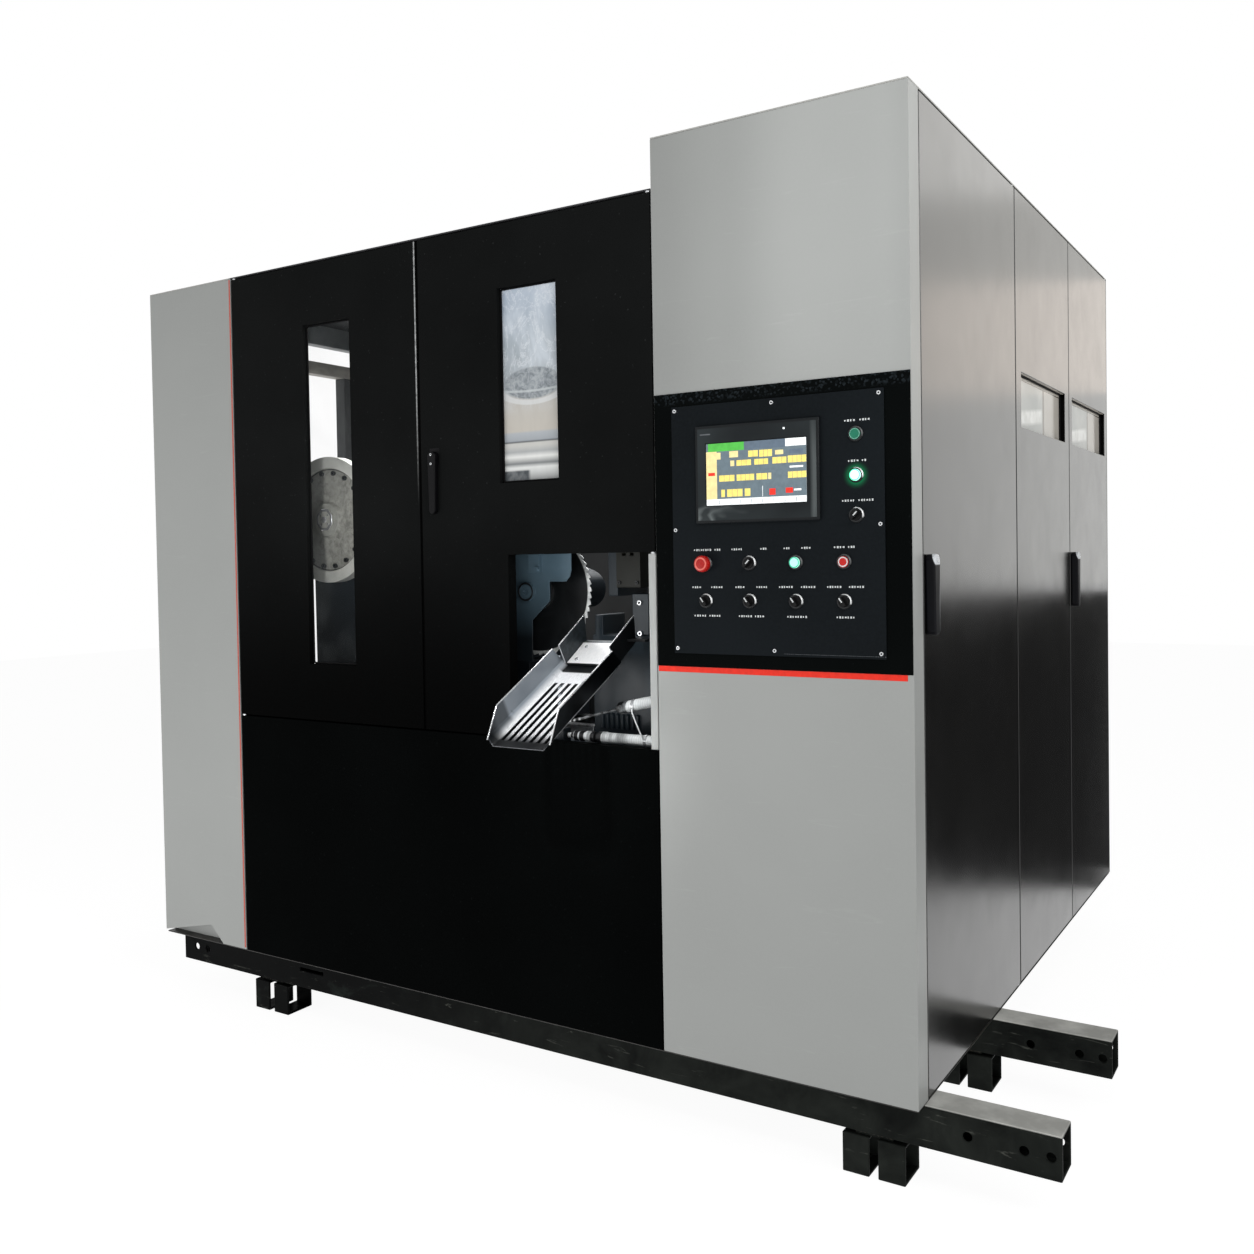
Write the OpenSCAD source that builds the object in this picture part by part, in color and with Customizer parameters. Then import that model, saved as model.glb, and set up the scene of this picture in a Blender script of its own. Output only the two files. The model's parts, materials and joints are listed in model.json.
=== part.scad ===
// Enclosed circular cold saw for round bar, standing on a two-rail shipping skid.
// Every module is drawn from one datum: the bottom front right corner of the
// control cabinet. X runs right, Y runs into the machine and Z runs up.

/* [Enclosure] */
// Width from the left panel to the cabinet's right side
enc_w = 2235; // [2100:5:2700]
// Depth from the front plane to the rear plane
enc_d = 1957; // [1850:1:2400]
// Height of the saw bay above the underside of the panels
bay_h = 1838; // [1780:1:2250]
// Height of the cabinet above the underside of the panels
cab_h = 1943; // [1900:1:2400]
// Width of the control cabinet
cab_w = 558; // [500:1:680]
// Thickness of the folded sheet
skin = 2; // [1.5:0.1:2.5]
// Depth of the folds behind a panel or door
fold_d = 30; // [26:1:34]
// Gap between a door and what is next to it
gap = 4; // [4:0.5:6]
// Gap between two side doors
side_gap = 8; // [7:0.5:12]
// Width of the grey panel at the left end
left_panel_w = 345; // [280:1:400]
// Height of the black apron
apron_h = 647; // [600:1:690]
// Size of the square frame tube
tube = 40; // [30:1:50]
// Height of the top beams
beam_h = 64; // [50:1:70]

/* [Front doors] */
// Width of the right door
right_door_w = 657; // [620:1:720]
// Width of the window in either front door
front_win_w = 166; // [140:1:200]
// Height of the left door's window
left_win_h = 880; // [700:1:900]
// Height of the right door's window
right_win_h = 448; // [380:1:470]
// Width of the opening for the parts chute
notch_w = 394; // [380:1:440]
// Height of the top of the chute opening
notch_top = 1071; // [1050:1:1110]
// Depth of a window behind the door face
reveal = 16; // [12:1:20]
// Thickness of a window pane
pane_t = 4; // [3:0.5:6]

/* [Side doors] */
// Width of the cabinet door
side_a_w = 711; // [640:1:760]
// Width of the fixed middle side panel
side_b_w = 593; // [560:1:640]
// Height of the side windows
side_win_h = 136; // [110:1:160]
// Width of the side windows
side_win_w = 496; // [400:1:500]

/* [Door hardware] */
// Radius of a door pivot pin
pivot_r = 3.5; // [3:0.1:4]
// Distance of a pivot pin from the door's edge and face
pivot_in = 7; // [6.5:0.1:7.5]
// Height of the front latch lever
front_latch_h = 150; // [120:1:180]
// Height of the side latch levers
side_latch_h = 156; // [120:1:180]

/* [Skid] */
// Height of a rail
rail_h = 84; // [70:1:100]
// Width of a rail
rail_d = 76; // [60:1:80]
// Wall of a rail and of a foot stub
rail_wall = 6; // [4:0.5:8]
// Length of rail that sticks out past the cabinet
rail_out = 251; // [200:1:320]
// Radius of the holes in the rail ends
rail_hole_r = 9; // [7:0.5:11]
// Distance between the two end holes
rail_hole_pitch = 48; // [40:1:60]
// Height of a foot stub
foot_h = 80; // [60:1:100]
// Length of a foot stub
foot_l = 56; // [48:1:60]

/* [Controls] */
// Width of the control plate
plate_w = 462; // [440:1:480]
// Height of the control plate
plate_h = 515; // [500:1:560]
// Radius of the 22 mm operator holes
operator_r = 11.15; // [11.1:0.05:11.3]
// Travel of a push button
button_travel = 4; // [3:0.5:5]

/* [Saw] */
// Diameter of the saw blade
blade_d = 315; // [300:1:320]
// Thickness of the saw blade
blade_t = 2.6; // [2:0.1:3.2]
// Number of saw teeth
blade_teeth = 60; // [40:2:80]
// Feed stroke of the saw head
saw_stroke = 130; // [100:1:130]
// Radius of the spindle shaft
spindle_r = 25; // [22:1:28]
// Diameter of the flywheel
flywheel_d = 344; // [300:1:370]
// Height of the bar axis above the underside of the panels
bar_z = 917; // [900:1:940]
// Opening of the vise
vise_open = 82; // [60:1:90]

/* [Chute] */
// Slope of the lower chute
chute_slope = 27; // [25:0.5:29]
// Width of the lower chute
chute_w = 165; // [150:1:180]
// Reach of the chute in front of the doors
chute_out = 205; // [180:1:220]
// Height of the chute walls
chute_wall_h = 58; // [45:1:65]
// Number of slots in the chute floor
chute_slots = 7; // [5:1:7]
// Width of a chute slot
slot_w = 7; // [4:0.5:8]

/* [Hidden] */
$fn = 48;

// overall frame: the origin is under the middle of everything, on the floor
seat = 4;
foot_plate_t = 8;
skid_h = foot_h + foot_plate_t + rail_h + seat;
total_w = enc_w + rail_out;
total_d = enc_d + chute_out;
datum = [total_w / 2 - rail_out, chute_out - total_d / 2, skid_h];

// clearances
run = 0.05;
slide = 0.3;
seam = 0.3;
eps = 1;

// sheet metal
roof_t = 3;
inset = fold_d + 2;
front_return = 58;
door_z = apron_h + gap;
bay_door_top = bay_h - roof_t - gap;
cab_door_top = cab_h - roof_t - gap;

// front openings and doors
cab_x = -cab_w;
right_door_x = cab_x - gap - right_door_w;
left_door_x = -enc_w + left_panel_w + gap;
left_door_w = right_door_x - gap - left_door_x;
notch_x = cab_x - gap - notch_w;
left_win = [(left_door_w - front_win_w) / 2 + 23.5, 797 - door_z, front_win_w, left_win_h];
right_win = [right_door_w - 247 - front_win_w, notch_top + 166 - door_z, front_win_w, right_win_h];

// side doors
side_z = gap;
side_a_y = front_return + gap;
side_b_y = side_a_y + side_a_w + side_gap;
side_c_y = side_b_y + side_b_w + side_gap;
side_c_w = enc_d - 2 * gap + skin - side_c_y;
side_h = cab_door_top - side_z;
side_win_z = 1365 - side_z;
side_b_win = [(side_b_w - side_win_w) / 2, side_win_z, side_win_w, side_win_h];
side_c_win = [(side_c_w - side_win_w) / 2, side_win_z, side_win_w, side_win_h];

// pivots: [x, y, floor of the lower pin, ceiling of the upper pin]
pivot_pos = [
  [left_door_x + pivot_in, pivot_in, apron_h, bay_h - roof_t],
  [cab_x - gap - pivot_in, pivot_in, notch_top - gap, bay_h - roof_t],
  [-pivot_in, side_a_y + side_a_w - pivot_in, 0, cab_h - roof_t],
  [-pivot_in, side_c_y + side_c_w - pivot_in, 0, cab_h - roof_t]];
pivot_reach = 8;

// skid
rail_l = enc_w + rail_out - 27;
rail_x = rail_out - rail_l;
rail_z = -seat - rail_h;
front_rail_y = 42;
middle_rail_y = 534;
rear_rail_y = enc_d - 207;
rear_rail_x = rail_x + 60;
rear_rail_l = enc_w - 240;
foot_d = rail_d + 10;
foot_gap = 18;
foot_z = rail_z - foot_plate_t - foot_h;
// feet: [x of the left stub, y]
feet = [
  [-172, front_rail_y], [-enc_w + 329, front_rail_y],
  [-137, middle_rail_y], [-enc_w + 329, middle_rail_y],
  [-404, rear_rail_y], [-enc_w + 329, rear_rail_y]];
rail_holes = [rail_out - 20, rail_out - 20 - rail_hole_pitch, rail_out - 172,
              rail_x + 54, rail_x + 54 + rail_hole_pitch];

// work zone
bar_x = cab_x - 222;
bed_top = 620;
bar_floor = bar_z - 40;
blade_c = [bar_x - 58 - blade_d / 2, bar_z + 65];
blade_y = 168;
guard_y = 125;
guard_r = blade_d / 2 + 12.5;
head_y = 184;
head_d = 216;
nose_r = 48;
wheel_c = [blade_c.x - 692, blade_c.y + 196];
wheel_y = 142;
wheel_w = 34;
vise_y = 190;
rail_size = 30;
saw_rail_y = [235, 385];
feed_rail_x = [bar_x - 125, bar_x + 95];
roller_y = enc_d - 255;
saddle_x = [blade_c.x - 790, blade_c.x - 30];

// chute
chute_x = bar_x - chute_w / 2;
chute_tip_z = 664;
chute_l = 329;
upper_x = chute_x + 12;
upper_w = chute_w - 25;
upper_slope = 31;
upper_y = 77;
upper_z = 817.6;
upper_wall_h = 54;

// controls
band_z = 829;
band_h = 572;
band_t = 1.5;
plate_t = 3;
plate_x = cab_x + (cab_w - plate_w) / 2 - 4;
plate_z = band_z + 28;
plate_face = -band_t - plate_t;
col_x = [plate_x + 77, plate_x + 177, plate_x + 278.5, plate_x + 379.5];
side_col_x = plate_x + 406;
row_z = [plate_z + 187, plate_z + 110];
hmi = [plate_x + 60, plate_z + 269.5, 274, 200];
green_pos = [side_col_x, plate_z + 431.5];
lit_pos = [side_col_x, plate_z + 353];
estop_pos = [col_x[0], row_z[0]];
pale_pos = [col_x[2], row_z[0]];
red_pos = [col_x[3], row_z[0]];
// selectors: [x, z, angle of the pointer to the right of upright]
selector_pos = [
  [side_col_x, plate_z + 276.5, 45], [col_x[1], row_z[0], 45],
  [col_x[0], row_z[1], -35], [col_x[1], row_z[1], -35],
  [col_x[2], row_z[1], -35], [col_x[3], row_z[1], -35]];
operators = concat([green_pos, lit_pos, estop_pos, pale_pos, red_pos],
                   [for (s = selector_pos) [s.x, s.y]]);

// ---------------------------------------------------------------- helpers

module at_datum() translate(datum) children();

// a profile drawn in X and Z, from y0 to y1
module prism_y(y0, y1) translate([0, y1, 0]) rotate([90, 0, 0]) linear_extrude(y1 - y0) children();

// a profile drawn in Y and Z, from x0 to x1
module prism_x(x0, x1)
  translate([x0, 0, 0]) rotate([90, 0, 90]) linear_extrude(x1 - x0) children();

module rod_x(x0, x1, y, z, r, fn = 48)
  translate([x0, y, z]) rotate([0, 90, 0]) cylinder(h = x1 - x0, r = r, $fn = fn);

module rod_y(x, y0, y1, z, r, fn = 48)
  translate([x, y0, z]) rotate([-90, 0, 0]) cylinder(h = y1 - y0, r = r, $fn = fn);

// a box from its two corners
module block(low, high) translate(low) cube(high - low);

// folded sheet: its face looks along -Y and its folds run back from the edges
module pan(w, h, d = fold_d) difference() {
  cube([w, d, h]);
  translate([skin, skin, skin]) cube([w - 2 * skin, d, h - 2 * skin]);
}

// a pan with a window [x, z, width, height] whose edge is folded in
module window_pan(w, h, win, d = fold_d) difference() {
  union() {
    pan(w, h, d);
    translate([win[0] - skin, 0, win[1] - skin])
      cube([win[2] + 2 * skin, reveal, win[3] + 2 * skin]);
  }
  translate([win[0], -eps, win[1]]) cube([win[2], reveal + 2 * eps, win[3]]);
}

// the pane lies against the back of the folded edge
module pane(win) translate([win[0] - 12, reveal, win[1] - 12])
  cube([win[2] + 24, pane_t, win[3] + 24]);

// turns a pan so that its face looks along +X, from y0
module on_side(y0) translate([0, y0, side_z]) rotate([0, 0, 90]) children();

module pivot_holes(x, low, high) for (z = [low, high])
  translate([x, pivot_in, z - eps]) cylinder(h = skin + 2 * eps, r = pivot_r + run);

// the lever turns on a stub through the door's skin, and a short cam is behind the skin
module latch_lever(w, h, t, head) {
  prism_y(-t, -slide) polygon([
    [-w / 2, head - 8], [-w / 2 + 8, head], [w / 2 - 8, head], [w / 2, head - 8],
    [w / 2 - 3, head - h + 6], [w / 2 - 9, head - h], [-w / 2 + 9, head - h],
    [-w / 2 + 3, head - h + 6]]);
  rod_y(0, -slide, skin + slide, 0, 6);
  block([-7, skin + slide, -26], [7, skin + slide + 3, 7]);
}

function polar(r, a) = [r * cos(a), r * sin(a)];

// the four points where two circles meet their outer tangents
function tangent_quad(c1, r1, c2, r2) =
  let (d = norm(c2 - c1), base = atan2(c2.y - c1.y, c2.x - c1.x), lean = acos((r1 - r2) / d))
  [c1 + polar(r1, base + lean), c2 + polar(r2, base + lean),
   c2 + polar(r2, base - lean), c1 + polar(r1, base - lean)];

// ---------------------------------------------------------------- skid

module rail(x, y, l) translate([x, y, rail_z]) difference() {
  cube([l, rail_d, rail_h]);
  translate([-eps, rail_wall, rail_wall])
    cube([l + 2 * eps, rail_d - 2 * rail_wall, rail_h - 2 * rail_wall]);
}

module skid_rails() color([0.13, 0.14, 0.13]) at_datum() {
  difference() {
    union() {
      rail(rail_x, front_rail_y, rail_l);
      rail(rail_x, middle_rail_y, rail_l);
    }
    for (x = rail_holes, y = [front_rail_y, middle_rail_y])
      rod_y(x, y - eps, y + rail_d + eps, rail_z + rail_h / 2, rail_hole_r);
    block([-enc_w + 509, front_rail_y - eps, rail_z + rail_h - 38],
          [-enc_w + 597, front_rail_y + rail_wall + eps, rail_z + rail_h - 30]);
  }
  rail(rear_rail_x, rear_rail_y, rear_rail_l);
}

module foot_stubs() color([0.12, 0.13, 0.12]) at_datum()
  for (f = feet, k = [0, 1])
    translate([f.x + k * (foot_l + foot_gap), f.y, foot_z]) difference() {
      cube([foot_l, foot_d, foot_h]);
      translate([-eps, rail_wall, rail_wall])
        cube([foot_l + 2 * eps, foot_d - 2 * rail_wall, foot_h - 2 * rail_wall]);
    }

module foot_plates() color([0.10, 0.11, 0.10]) at_datum()
  for (f = feet)
    translate([f.x + foot_l - 30, f.y + 8, rail_z - foot_plate_t])
      cube([foot_gap + 60, rail_d - 16, foot_plate_t]);

// ---------------------------------------------------------------- base

module machine_bed() color([0.30, 0.34, 0.36]) at_datum() difference() {
  union() {
    // floor plate under the whole enclosure, and the lip along the front rail
    block([-enc_w + 3, 3, -seat], [-1, enc_d - 1, 0]);
    block([-enc_w + 371, front_rail_y - 5, -seat - 16],
          [cab_x - 2, front_rail_y - seam, -seat - seam]);
    // welded base under the saw and under the bar feed
    block([-enc_w + 355, 62, seam], [cab_x - 42, 470, bed_top]);
    block([bar_x - 170, 470 + seam, seam], [cab_x - 42, enc_d - 97, bed_top]);
    // junction block for the lower conduit
    block([bar_x - 100, 62, bed_top + seam], [bar_x - 72, 94, bed_top + 48]);
    // bearing ears of the bar roller
    for (x = [bar_x - 117, bar_x + 102])
      block([x, roller_y - 25, bed_top + seam], [x + 15, roller_y + 25, bar_floor - 12]);
  }
  rod_x(bar_x - 118, bar_x + 118, roller_y, bar_floor - 30, 12 + run);
  // cleaning doors' recesses in the front of the base
  for (x = [-enc_w + 420, -enc_w + 900])
    block([x, 62 - eps, 120], [x + 380, 70, 480]);
}

module guide_rails() color([0.62, 0.64, 0.66]) at_datum() {
  for (y = saw_rail_y)
    block([saddle_x[0] - 60, y, bed_top],
          [saddle_x[1] + saw_stroke + 12, y + rail_size, bed_top + rail_size]);
  for (x = feed_rail_x)
    block([x, 475, bed_top], [x + rail_size, enc_d - 320, bed_top + rail_size]);
}

// ---------------------------------------------------------------- frame and panels

post_top = bay_h - roof_t - beam_h;
cab_post_top = cab_h - roof_t - beam_h;
rear_post_y = enc_d - inset - tube;
right_post_x = -inset - tube;
cab_post_x = cab_x + 3;
left_post_x = -enc_w + inset;
front_post_y = front_return + gap;
bay_post_y = inset + 2;
seam_post_x = left_door_x - gap - tube;
mid_post_x = bar_x - 320;
left_mid_y = 684;

module post(x, y, h) translate([x, y, 0]) difference() {
  cube([tube, tube, h]);
  translate([3, 3, -eps]) cube([tube - 6, tube - 6, h + 2 * eps]);
}

module frame_posts() color([0.72, 0.71, 0.66]) at_datum() {
  for (y = [front_post_y, side_b_y - (side_gap + tube) / 2, side_c_y - (side_gap + tube) / 2,
            rear_post_y])
    post(right_post_x, y, cab_post_top);
  for (y = [front_post_y, rear_post_y]) post(cab_post_x, y, cab_post_top);
  post(left_post_x, bay_post_y, post_top);
  post(seam_post_x, bay_post_y, post_top);
  post(left_post_x, rear_post_y, post_top);
  post(mid_post_x, rear_post_y, post_top);
  // middle post of the open left end, under the lower side beam
  post(left_post_x, left_mid_y, bay_h - 163);
  // the hinge post, and the strip that stands on the apron in front of it
  block([cab_x - gap - 18, bay_post_y, 0], [cab_x - gap, front_return, post_top]);
  block([cab_x - gap - 18, 3, apron_h], [cab_x - gap, bay_post_y - seam, notch_top - gap]);
}

module frame_beams() color([0.52, 0.56, 0.60]) at_datum() {
  bay_end = cab_x - 3;
  for (y = [bay_post_y, rear_post_y])
    block([left_post_x, y, post_top], [bay_end, y + tube, post_top + beam_h]);
  for (x = [left_post_x, mid_post_x])
    block([x, bay_post_y + tube + seam, post_top], [x + tube, rear_post_y - seam, post_top + beam_h]);
  // lower side beam at the open left end
  block([left_post_x, bay_post_y + tube, bay_h - 163],
        [left_post_x + tube, rear_post_y, bay_h - 123]);
  for (y = [front_post_y, rear_post_y])
    block([cab_post_x, y, cab_post_top], [right_post_x + tube, y + tube, cab_post_top + beam_h]);
  for (x = [cab_post_x, right_post_x])
    block([x, front_post_y + tube + seam, cab_post_top],
          [x + tube, rear_post_y - seam, cab_post_top + beam_h]);
}

module front_left_panel() color([0.72, 0.73, 0.73]) at_datum() difference() {
  translate([-enc_w, 0, 0]) pan(left_panel_w, bay_h - roof_t);
  // cut-out at the lower left corner
  prism_y(-eps, skin + eps) polygon([
    [-enc_w - eps, -eps], [-enc_w - eps, 4], [-enc_w, 4], [-enc_w + 200, 46],
    [-enc_w + 248, 2], [-enc_w + 248, -eps]]);
  block([-enc_w - eps, skin, -eps], [-enc_w + 248, fold_d + eps, 46]);
}

module left_side_panel() color([0.66, 0.64, 0.58]) at_datum() {
  translate([-enc_w, rear_post_y + tube - 2, 0]) rotate([0, 0, -90])
    pan(rear_post_y + tube - inset - 4, apron_h);
  // flange that closes the cut-out of the front panel
  block([-enc_w + 1, inset - 4, 0], [-enc_w + 246, inset - 2, 44]);
}

module lower_apron() color([0.05, 0.05, 0.055]) at_datum()
  translate([left_door_x, 0, 0]) pan(cab_x - gap - left_door_x, apron_h);

module roof_panels() color([0.10, 0.10, 0.105]) at_datum() {
  block([-enc_w, 0, bay_h - roof_t], [cab_x - 1, enc_d, bay_h]);
  block([cab_x, 0, cab_h - roof_t], [0, enc_d, cab_h]);
  block([cab_x, front_return + 1, bay_h - roof_t],
        [cab_x + skin, enc_d - skin - seam, cab_h - roof_t - seam]);
}

// the bar comes in through a folded hole in the rear panel
infeed = [bar_x - 110, bar_floor - 30, 220, 190];

module rear_panels() color([0.66, 0.67, 0.67]) at_datum() {
  difference() {
    translate([cab_x - 2, enc_d, 0]) rotate([0, 0, 180]) pan(enc_w + cab_x - 2 - skin, bay_h - roof_t);
    block([infeed[0], enc_d - skin - eps, infeed[1]],
          [infeed[0] + infeed[2], enc_d + eps, infeed[1] + infeed[3]]);
  }
  block([cab_x, enc_d - skin, 0], [0, enc_d, cab_h - roof_t]);
}

module partition_wall() color([0.60, 0.61, 0.61]) at_datum() {
  wall_y = side_b_y + 16;
  block([cab_x, front_return + 1, 0], [cab_x + skin, wall_y, bay_h - roof_t]);
  block([cab_x + skin + seam, wall_y - skin, 0], [right_post_x - 2, wall_y, cab_post_top]);
}

// ---------------------------------------------------------------- cabinet front and controls

module operator_holes(y0, y1) for (p = operators) rod_y(p.x, y0, y1, p.y, operator_r);

module cabinet_front() color([0.72, 0.73, 0.73]) at_datum() difference() {
  translate([cab_x, 0, 0]) pan(cab_w, cab_h - roof_t, front_return);
  operator_holes(-eps, skin + eps);
}

module control_band() color([0.03, 0.05, 0.055]) at_datum() difference() {
  block([cab_x + 1, -band_t, band_z], [-1, 0, band_z + band_h]);
  operator_holes(-band_t - eps, eps);
}

module control_plate() color([0.07, 0.08, 0.085]) at_datum() difference() {
  block([plate_x, plate_face, plate_z], [plate_x + plate_w, -band_t, plate_z + plate_h]);
  operator_holes(plate_face - eps, -band_t + eps);
}

module hmi_housing() color([0.10, 0.11, 0.12]) at_datum() difference() {
  block([hmi[0], plate_face - 8, hmi[1]], [hmi[0] + hmi[2], plate_face, hmi[1] + hmi[3]]);
  block([hmi[0] + 25, plate_face - 9, hmi[1] + 36],
        [hmi[0] + 247, plate_face - 5, hmi[1] + 163]);
}

module hmi_screen() color([0.62, 0.68, 0.72]) at_datum()
  block([hmi[0] + 25.5, plate_face - 7, hmi[1] + 36.5],
        [hmi[0] + 246.5, plate_face - 5, hmi[1] + 162.5]);

module operator_rings() color([0.55, 0.56, 0.57]) at_datum()
  for (p = operators)
    translate([p.x, plate_face, p.y]) rotate([90, 0, 0]) rotate_extrude() polygon([
      [operator_r, 0], [15, 0], [15, 3], [13.5, 5], [operator_r, 5]]);

module button_cap(p, h = 7) at_datum() {
  translate([p.x, plate_face, p.y]) rotate([90, 0, 0]) rotate_extrude() polygon([
    [0, 0], [10.9, 0], [10.9, h - 1], [9.9, h], [0, h]]);
  rod_y(p.x, plate_face, skin + 6, p.y, 8);
}

module estop_head() color([0.75, 0.05, 0.05]) at_datum() {
  translate([estop_pos.x, plate_face - 5 - button_travel - 1, estop_pos.y]) rotate([90, 0, 0])
    rotate_extrude() polygon([
      [0, 0], [16, 0], [17, 1.5], [17, 9], [15.5, 12], [10, 13], [0, 13.5]]);
  rod_y(estop_pos.x, plate_face - 5 - button_travel - 1, skin + 6, estop_pos.y, 10.9);
}

module green_button() color([0.05, 0.42, 0.25]) button_cap(green_pos);
module lit_button() color([0.55, 1.0, 0.85]) button_cap(lit_pos, 9);
module pale_button() color([0.60, 0.95, 0.85]) button_cap(pale_pos, 9);
module red_button() color([0.72, 0.06, 0.05]) button_cap(red_pos);

module selector(i) color([0.04, 0.04, 0.045]) at_datum()
  translate([selector_pos[i].x, plate_face, selector_pos[i].y]) rotate([0, selector_pos[i][2], 0]) {
    rod_y(0, -7, 0, 0, 10.9);
    rod_y(0, 0, skin + 6 - plate_face, 0, 8);
    prism_y(-17, -7) polygon([[-3, -10], [3, -10], [4, 8], [0, 10.5], [-4, 8]]);
  }

module selector_a() selector(0);
module selector_b() selector(1);
module selector_c() selector(2);
module selector_d() selector(3);
module selector_e() selector(4);
module selector_f() selector(5);

// ---------------------------------------------------------------- doors

front_latch_pos = [right_door_x + 47, notch_top + 237];
side_latch_z = 1036;
side_a_latch_y = side_a_y + 24;
side_c_latch_y = side_c_y + 24;

module front_left_door() color([0.05, 0.05, 0.055]) at_datum() translate([left_door_x, 0, door_z])
  difference() {
    window_pan(left_door_w, bay_door_top - door_z, left_win);
    pivot_holes(pivot_in, 0, bay_door_top - door_z - skin);
  }

module front_right_door() color([0.05, 0.05, 0.055]) at_datum() {
  h = bay_door_top - door_z;
  step_z = notch_top - door_z;
  leg_w = right_door_w - notch_w;
  difference() {
    translate([right_door_x, 0, door_z]) difference() {
      union() {
        window_pan(right_door_w, h, right_win);
        // folds along the two edges of the chute opening
        block([leg_w - skin, 0, 0], [leg_w, fold_d, step_z]);
        block([leg_w - skin, 0, step_z], [right_door_w, fold_d, step_z + skin]);
      }
      block([leg_w, -eps, -eps], [right_door_w + eps, fold_d + eps, step_z]);
      pivot_holes(right_door_w - pivot_in, step_z, h - skin);
    }
    rod_y(front_latch_pos.x, -eps, skin + eps, front_latch_pos.y, 6 + run);
  }
}

module front_latch() color([0.03, 0.03, 0.03]) at_datum()
  translate([front_latch_pos.x, 0, front_latch_pos.y]) latch_lever(24, front_latch_h, 14, 14);

module side_latch_hole(y) rod_y(y, -eps, skin + eps, side_latch_z - side_z, 6 + run);

module side_door_a() color([0.45, 0.45, 0.44]) at_datum() on_side(side_a_y) difference() {
  pan(side_a_w, side_h);
  pivot_holes(side_a_w - pivot_in, 0, side_h - skin);
  side_latch_hole(side_a_latch_y - side_a_y);
}

// the fixed middle panel is deeper, so that its folds lie against the posts
module side_panel_b() color([0.45, 0.45, 0.44]) at_datum() on_side(side_b_y)
  window_pan(side_b_w, side_h, side_b_win, inset);

module side_door_c() color([0.45, 0.45, 0.44]) at_datum() on_side(side_c_y) difference() {
  window_pan(side_c_w, side_h, side_c_win);
  pivot_holes(side_c_w - pivot_in, 0, side_h - skin);
  side_latch_hole(side_c_latch_y - side_c_y);
}

module side_latch_a() color([0.02, 0.02, 0.03]) at_datum() on_side(side_a_latch_y)
  translate([0, 0, side_latch_z - side_z]) latch_lever(34, side_latch_h, 20, 20);
module side_latch_c() color([0.02, 0.02, 0.03]) at_datum() on_side(side_c_latch_y)
  translate([0, 0, side_latch_z - side_z]) latch_lever(34, side_latch_h, 20, 20);

module front_left_pane() color([0.85, 0.90, 0.92, 0.35]) at_datum()
  translate([left_door_x, 0, door_z]) pane(left_win);
module front_right_pane() color([0.75, 0.84, 0.92, 0.5]) at_datum()
  translate([right_door_x, 0, door_z]) pane(right_win);
module side_pane_b() color([0.85, 0.90, 0.92, 0.35]) at_datum() on_side(side_b_y) pane(side_b_win);
module side_pane_c() color([0.85, 0.90, 0.92, 0.35]) at_datum() on_side(side_c_y) pane(side_c_win);

// each pin has a thrust collar that fills the gap below or above its door
module door_pivots() color([0.60, 0.60, 0.60]) at_datum() for (p = pivot_pos) {
  translate([p.x, p.y, p[2]]) {
    cylinder(h = gap - slide, r = pivot_r + 2.5);
    cylinder(h = gap + pivot_reach, r = pivot_r);
  }
  translate([p.x, p.y, p[3] - gap - pivot_reach]) {
    cylinder(h = gap + pivot_reach, r = pivot_r);
    translate([0, 0, pivot_reach + slide]) cylinder(h = gap - slide, r = pivot_r + 2.5);
  }
}

// ---------------------------------------------------------------- saw head

module head_profile() {
  translate(blade_c) circle(r = nose_r);
  translate(wheel_c) circle(r = 130);
  polygon(tangent_quad(blade_c, nose_r, wheel_c, 130));
  polygon([[saddle_x[0], bed_top + 140], [saddle_x[1] - 10, bed_top + 140],
           [blade_c.x - 45, blade_c.y - 32], [wheel_c.x + 60, wheel_c.y],
           [wheel_c.x - 100, wheel_c.y - 60], [saddle_x[0], bed_top + 240]]);
}

module saw_head() color([0.36, 0.44, 0.50]) at_datum() difference() {
  union() {
    prism_y(head_y, head_y + head_d) head_profile();
    block([saddle_x[0], 220, bed_top + rail_size + slide],
          [saddle_x[1], 430, bed_top + 140]);
    // runner blocks that straddle the rails
    for (y = saw_rail_y, x = [saddle_x[0] + 20, saddle_x[1] - 120])
      block([x, y - 14, bed_top + 6], [x + 100, y + rail_size + 14, bed_top + rail_size + 1]);
    // bearing cap of the flywheel shaft at the rear
    rod_y(wheel_c.x, head_y + head_d, head_y + head_d + 12, wheel_c.y, 110);
  }
  for (y = saw_rail_y)
    block([saddle_x[0] - eps, y - slide, bed_top], [saddle_x[1] + eps, y + rail_size + slide,
          bed_top + rail_size + slide]);
  rod_y(blade_c.x, head_y - eps, head_y + 140, blade_c.y, spindle_r + run);
  rod_y(wheel_c.x, head_y - eps, head_y + 140, wheel_c.y, spindle_r + run);
  // lightening pockets between the ribs of the casting
  for (k = [0 : 3])
    translate([blade_c.x - 210 - k * 105, 0, blade_c.y + 40 + k * 28])
      block([-38, head_y - eps, -28], [38, head_y + 22, 28 + k * 9]);
}

// sheet guard: open at the lower right, where the blade meets the bar
module guard_region(r) difference() {
  circle(r = r, $fn = 96);
  polygon([[66, 24], [66, -22], [13, -69], [12, -r - 20], [r + 20, -r - 20], [r + 20, 100],
           [129.5, 100], [129.5, 52], [125, 36], [114, 24]]);
}

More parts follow.
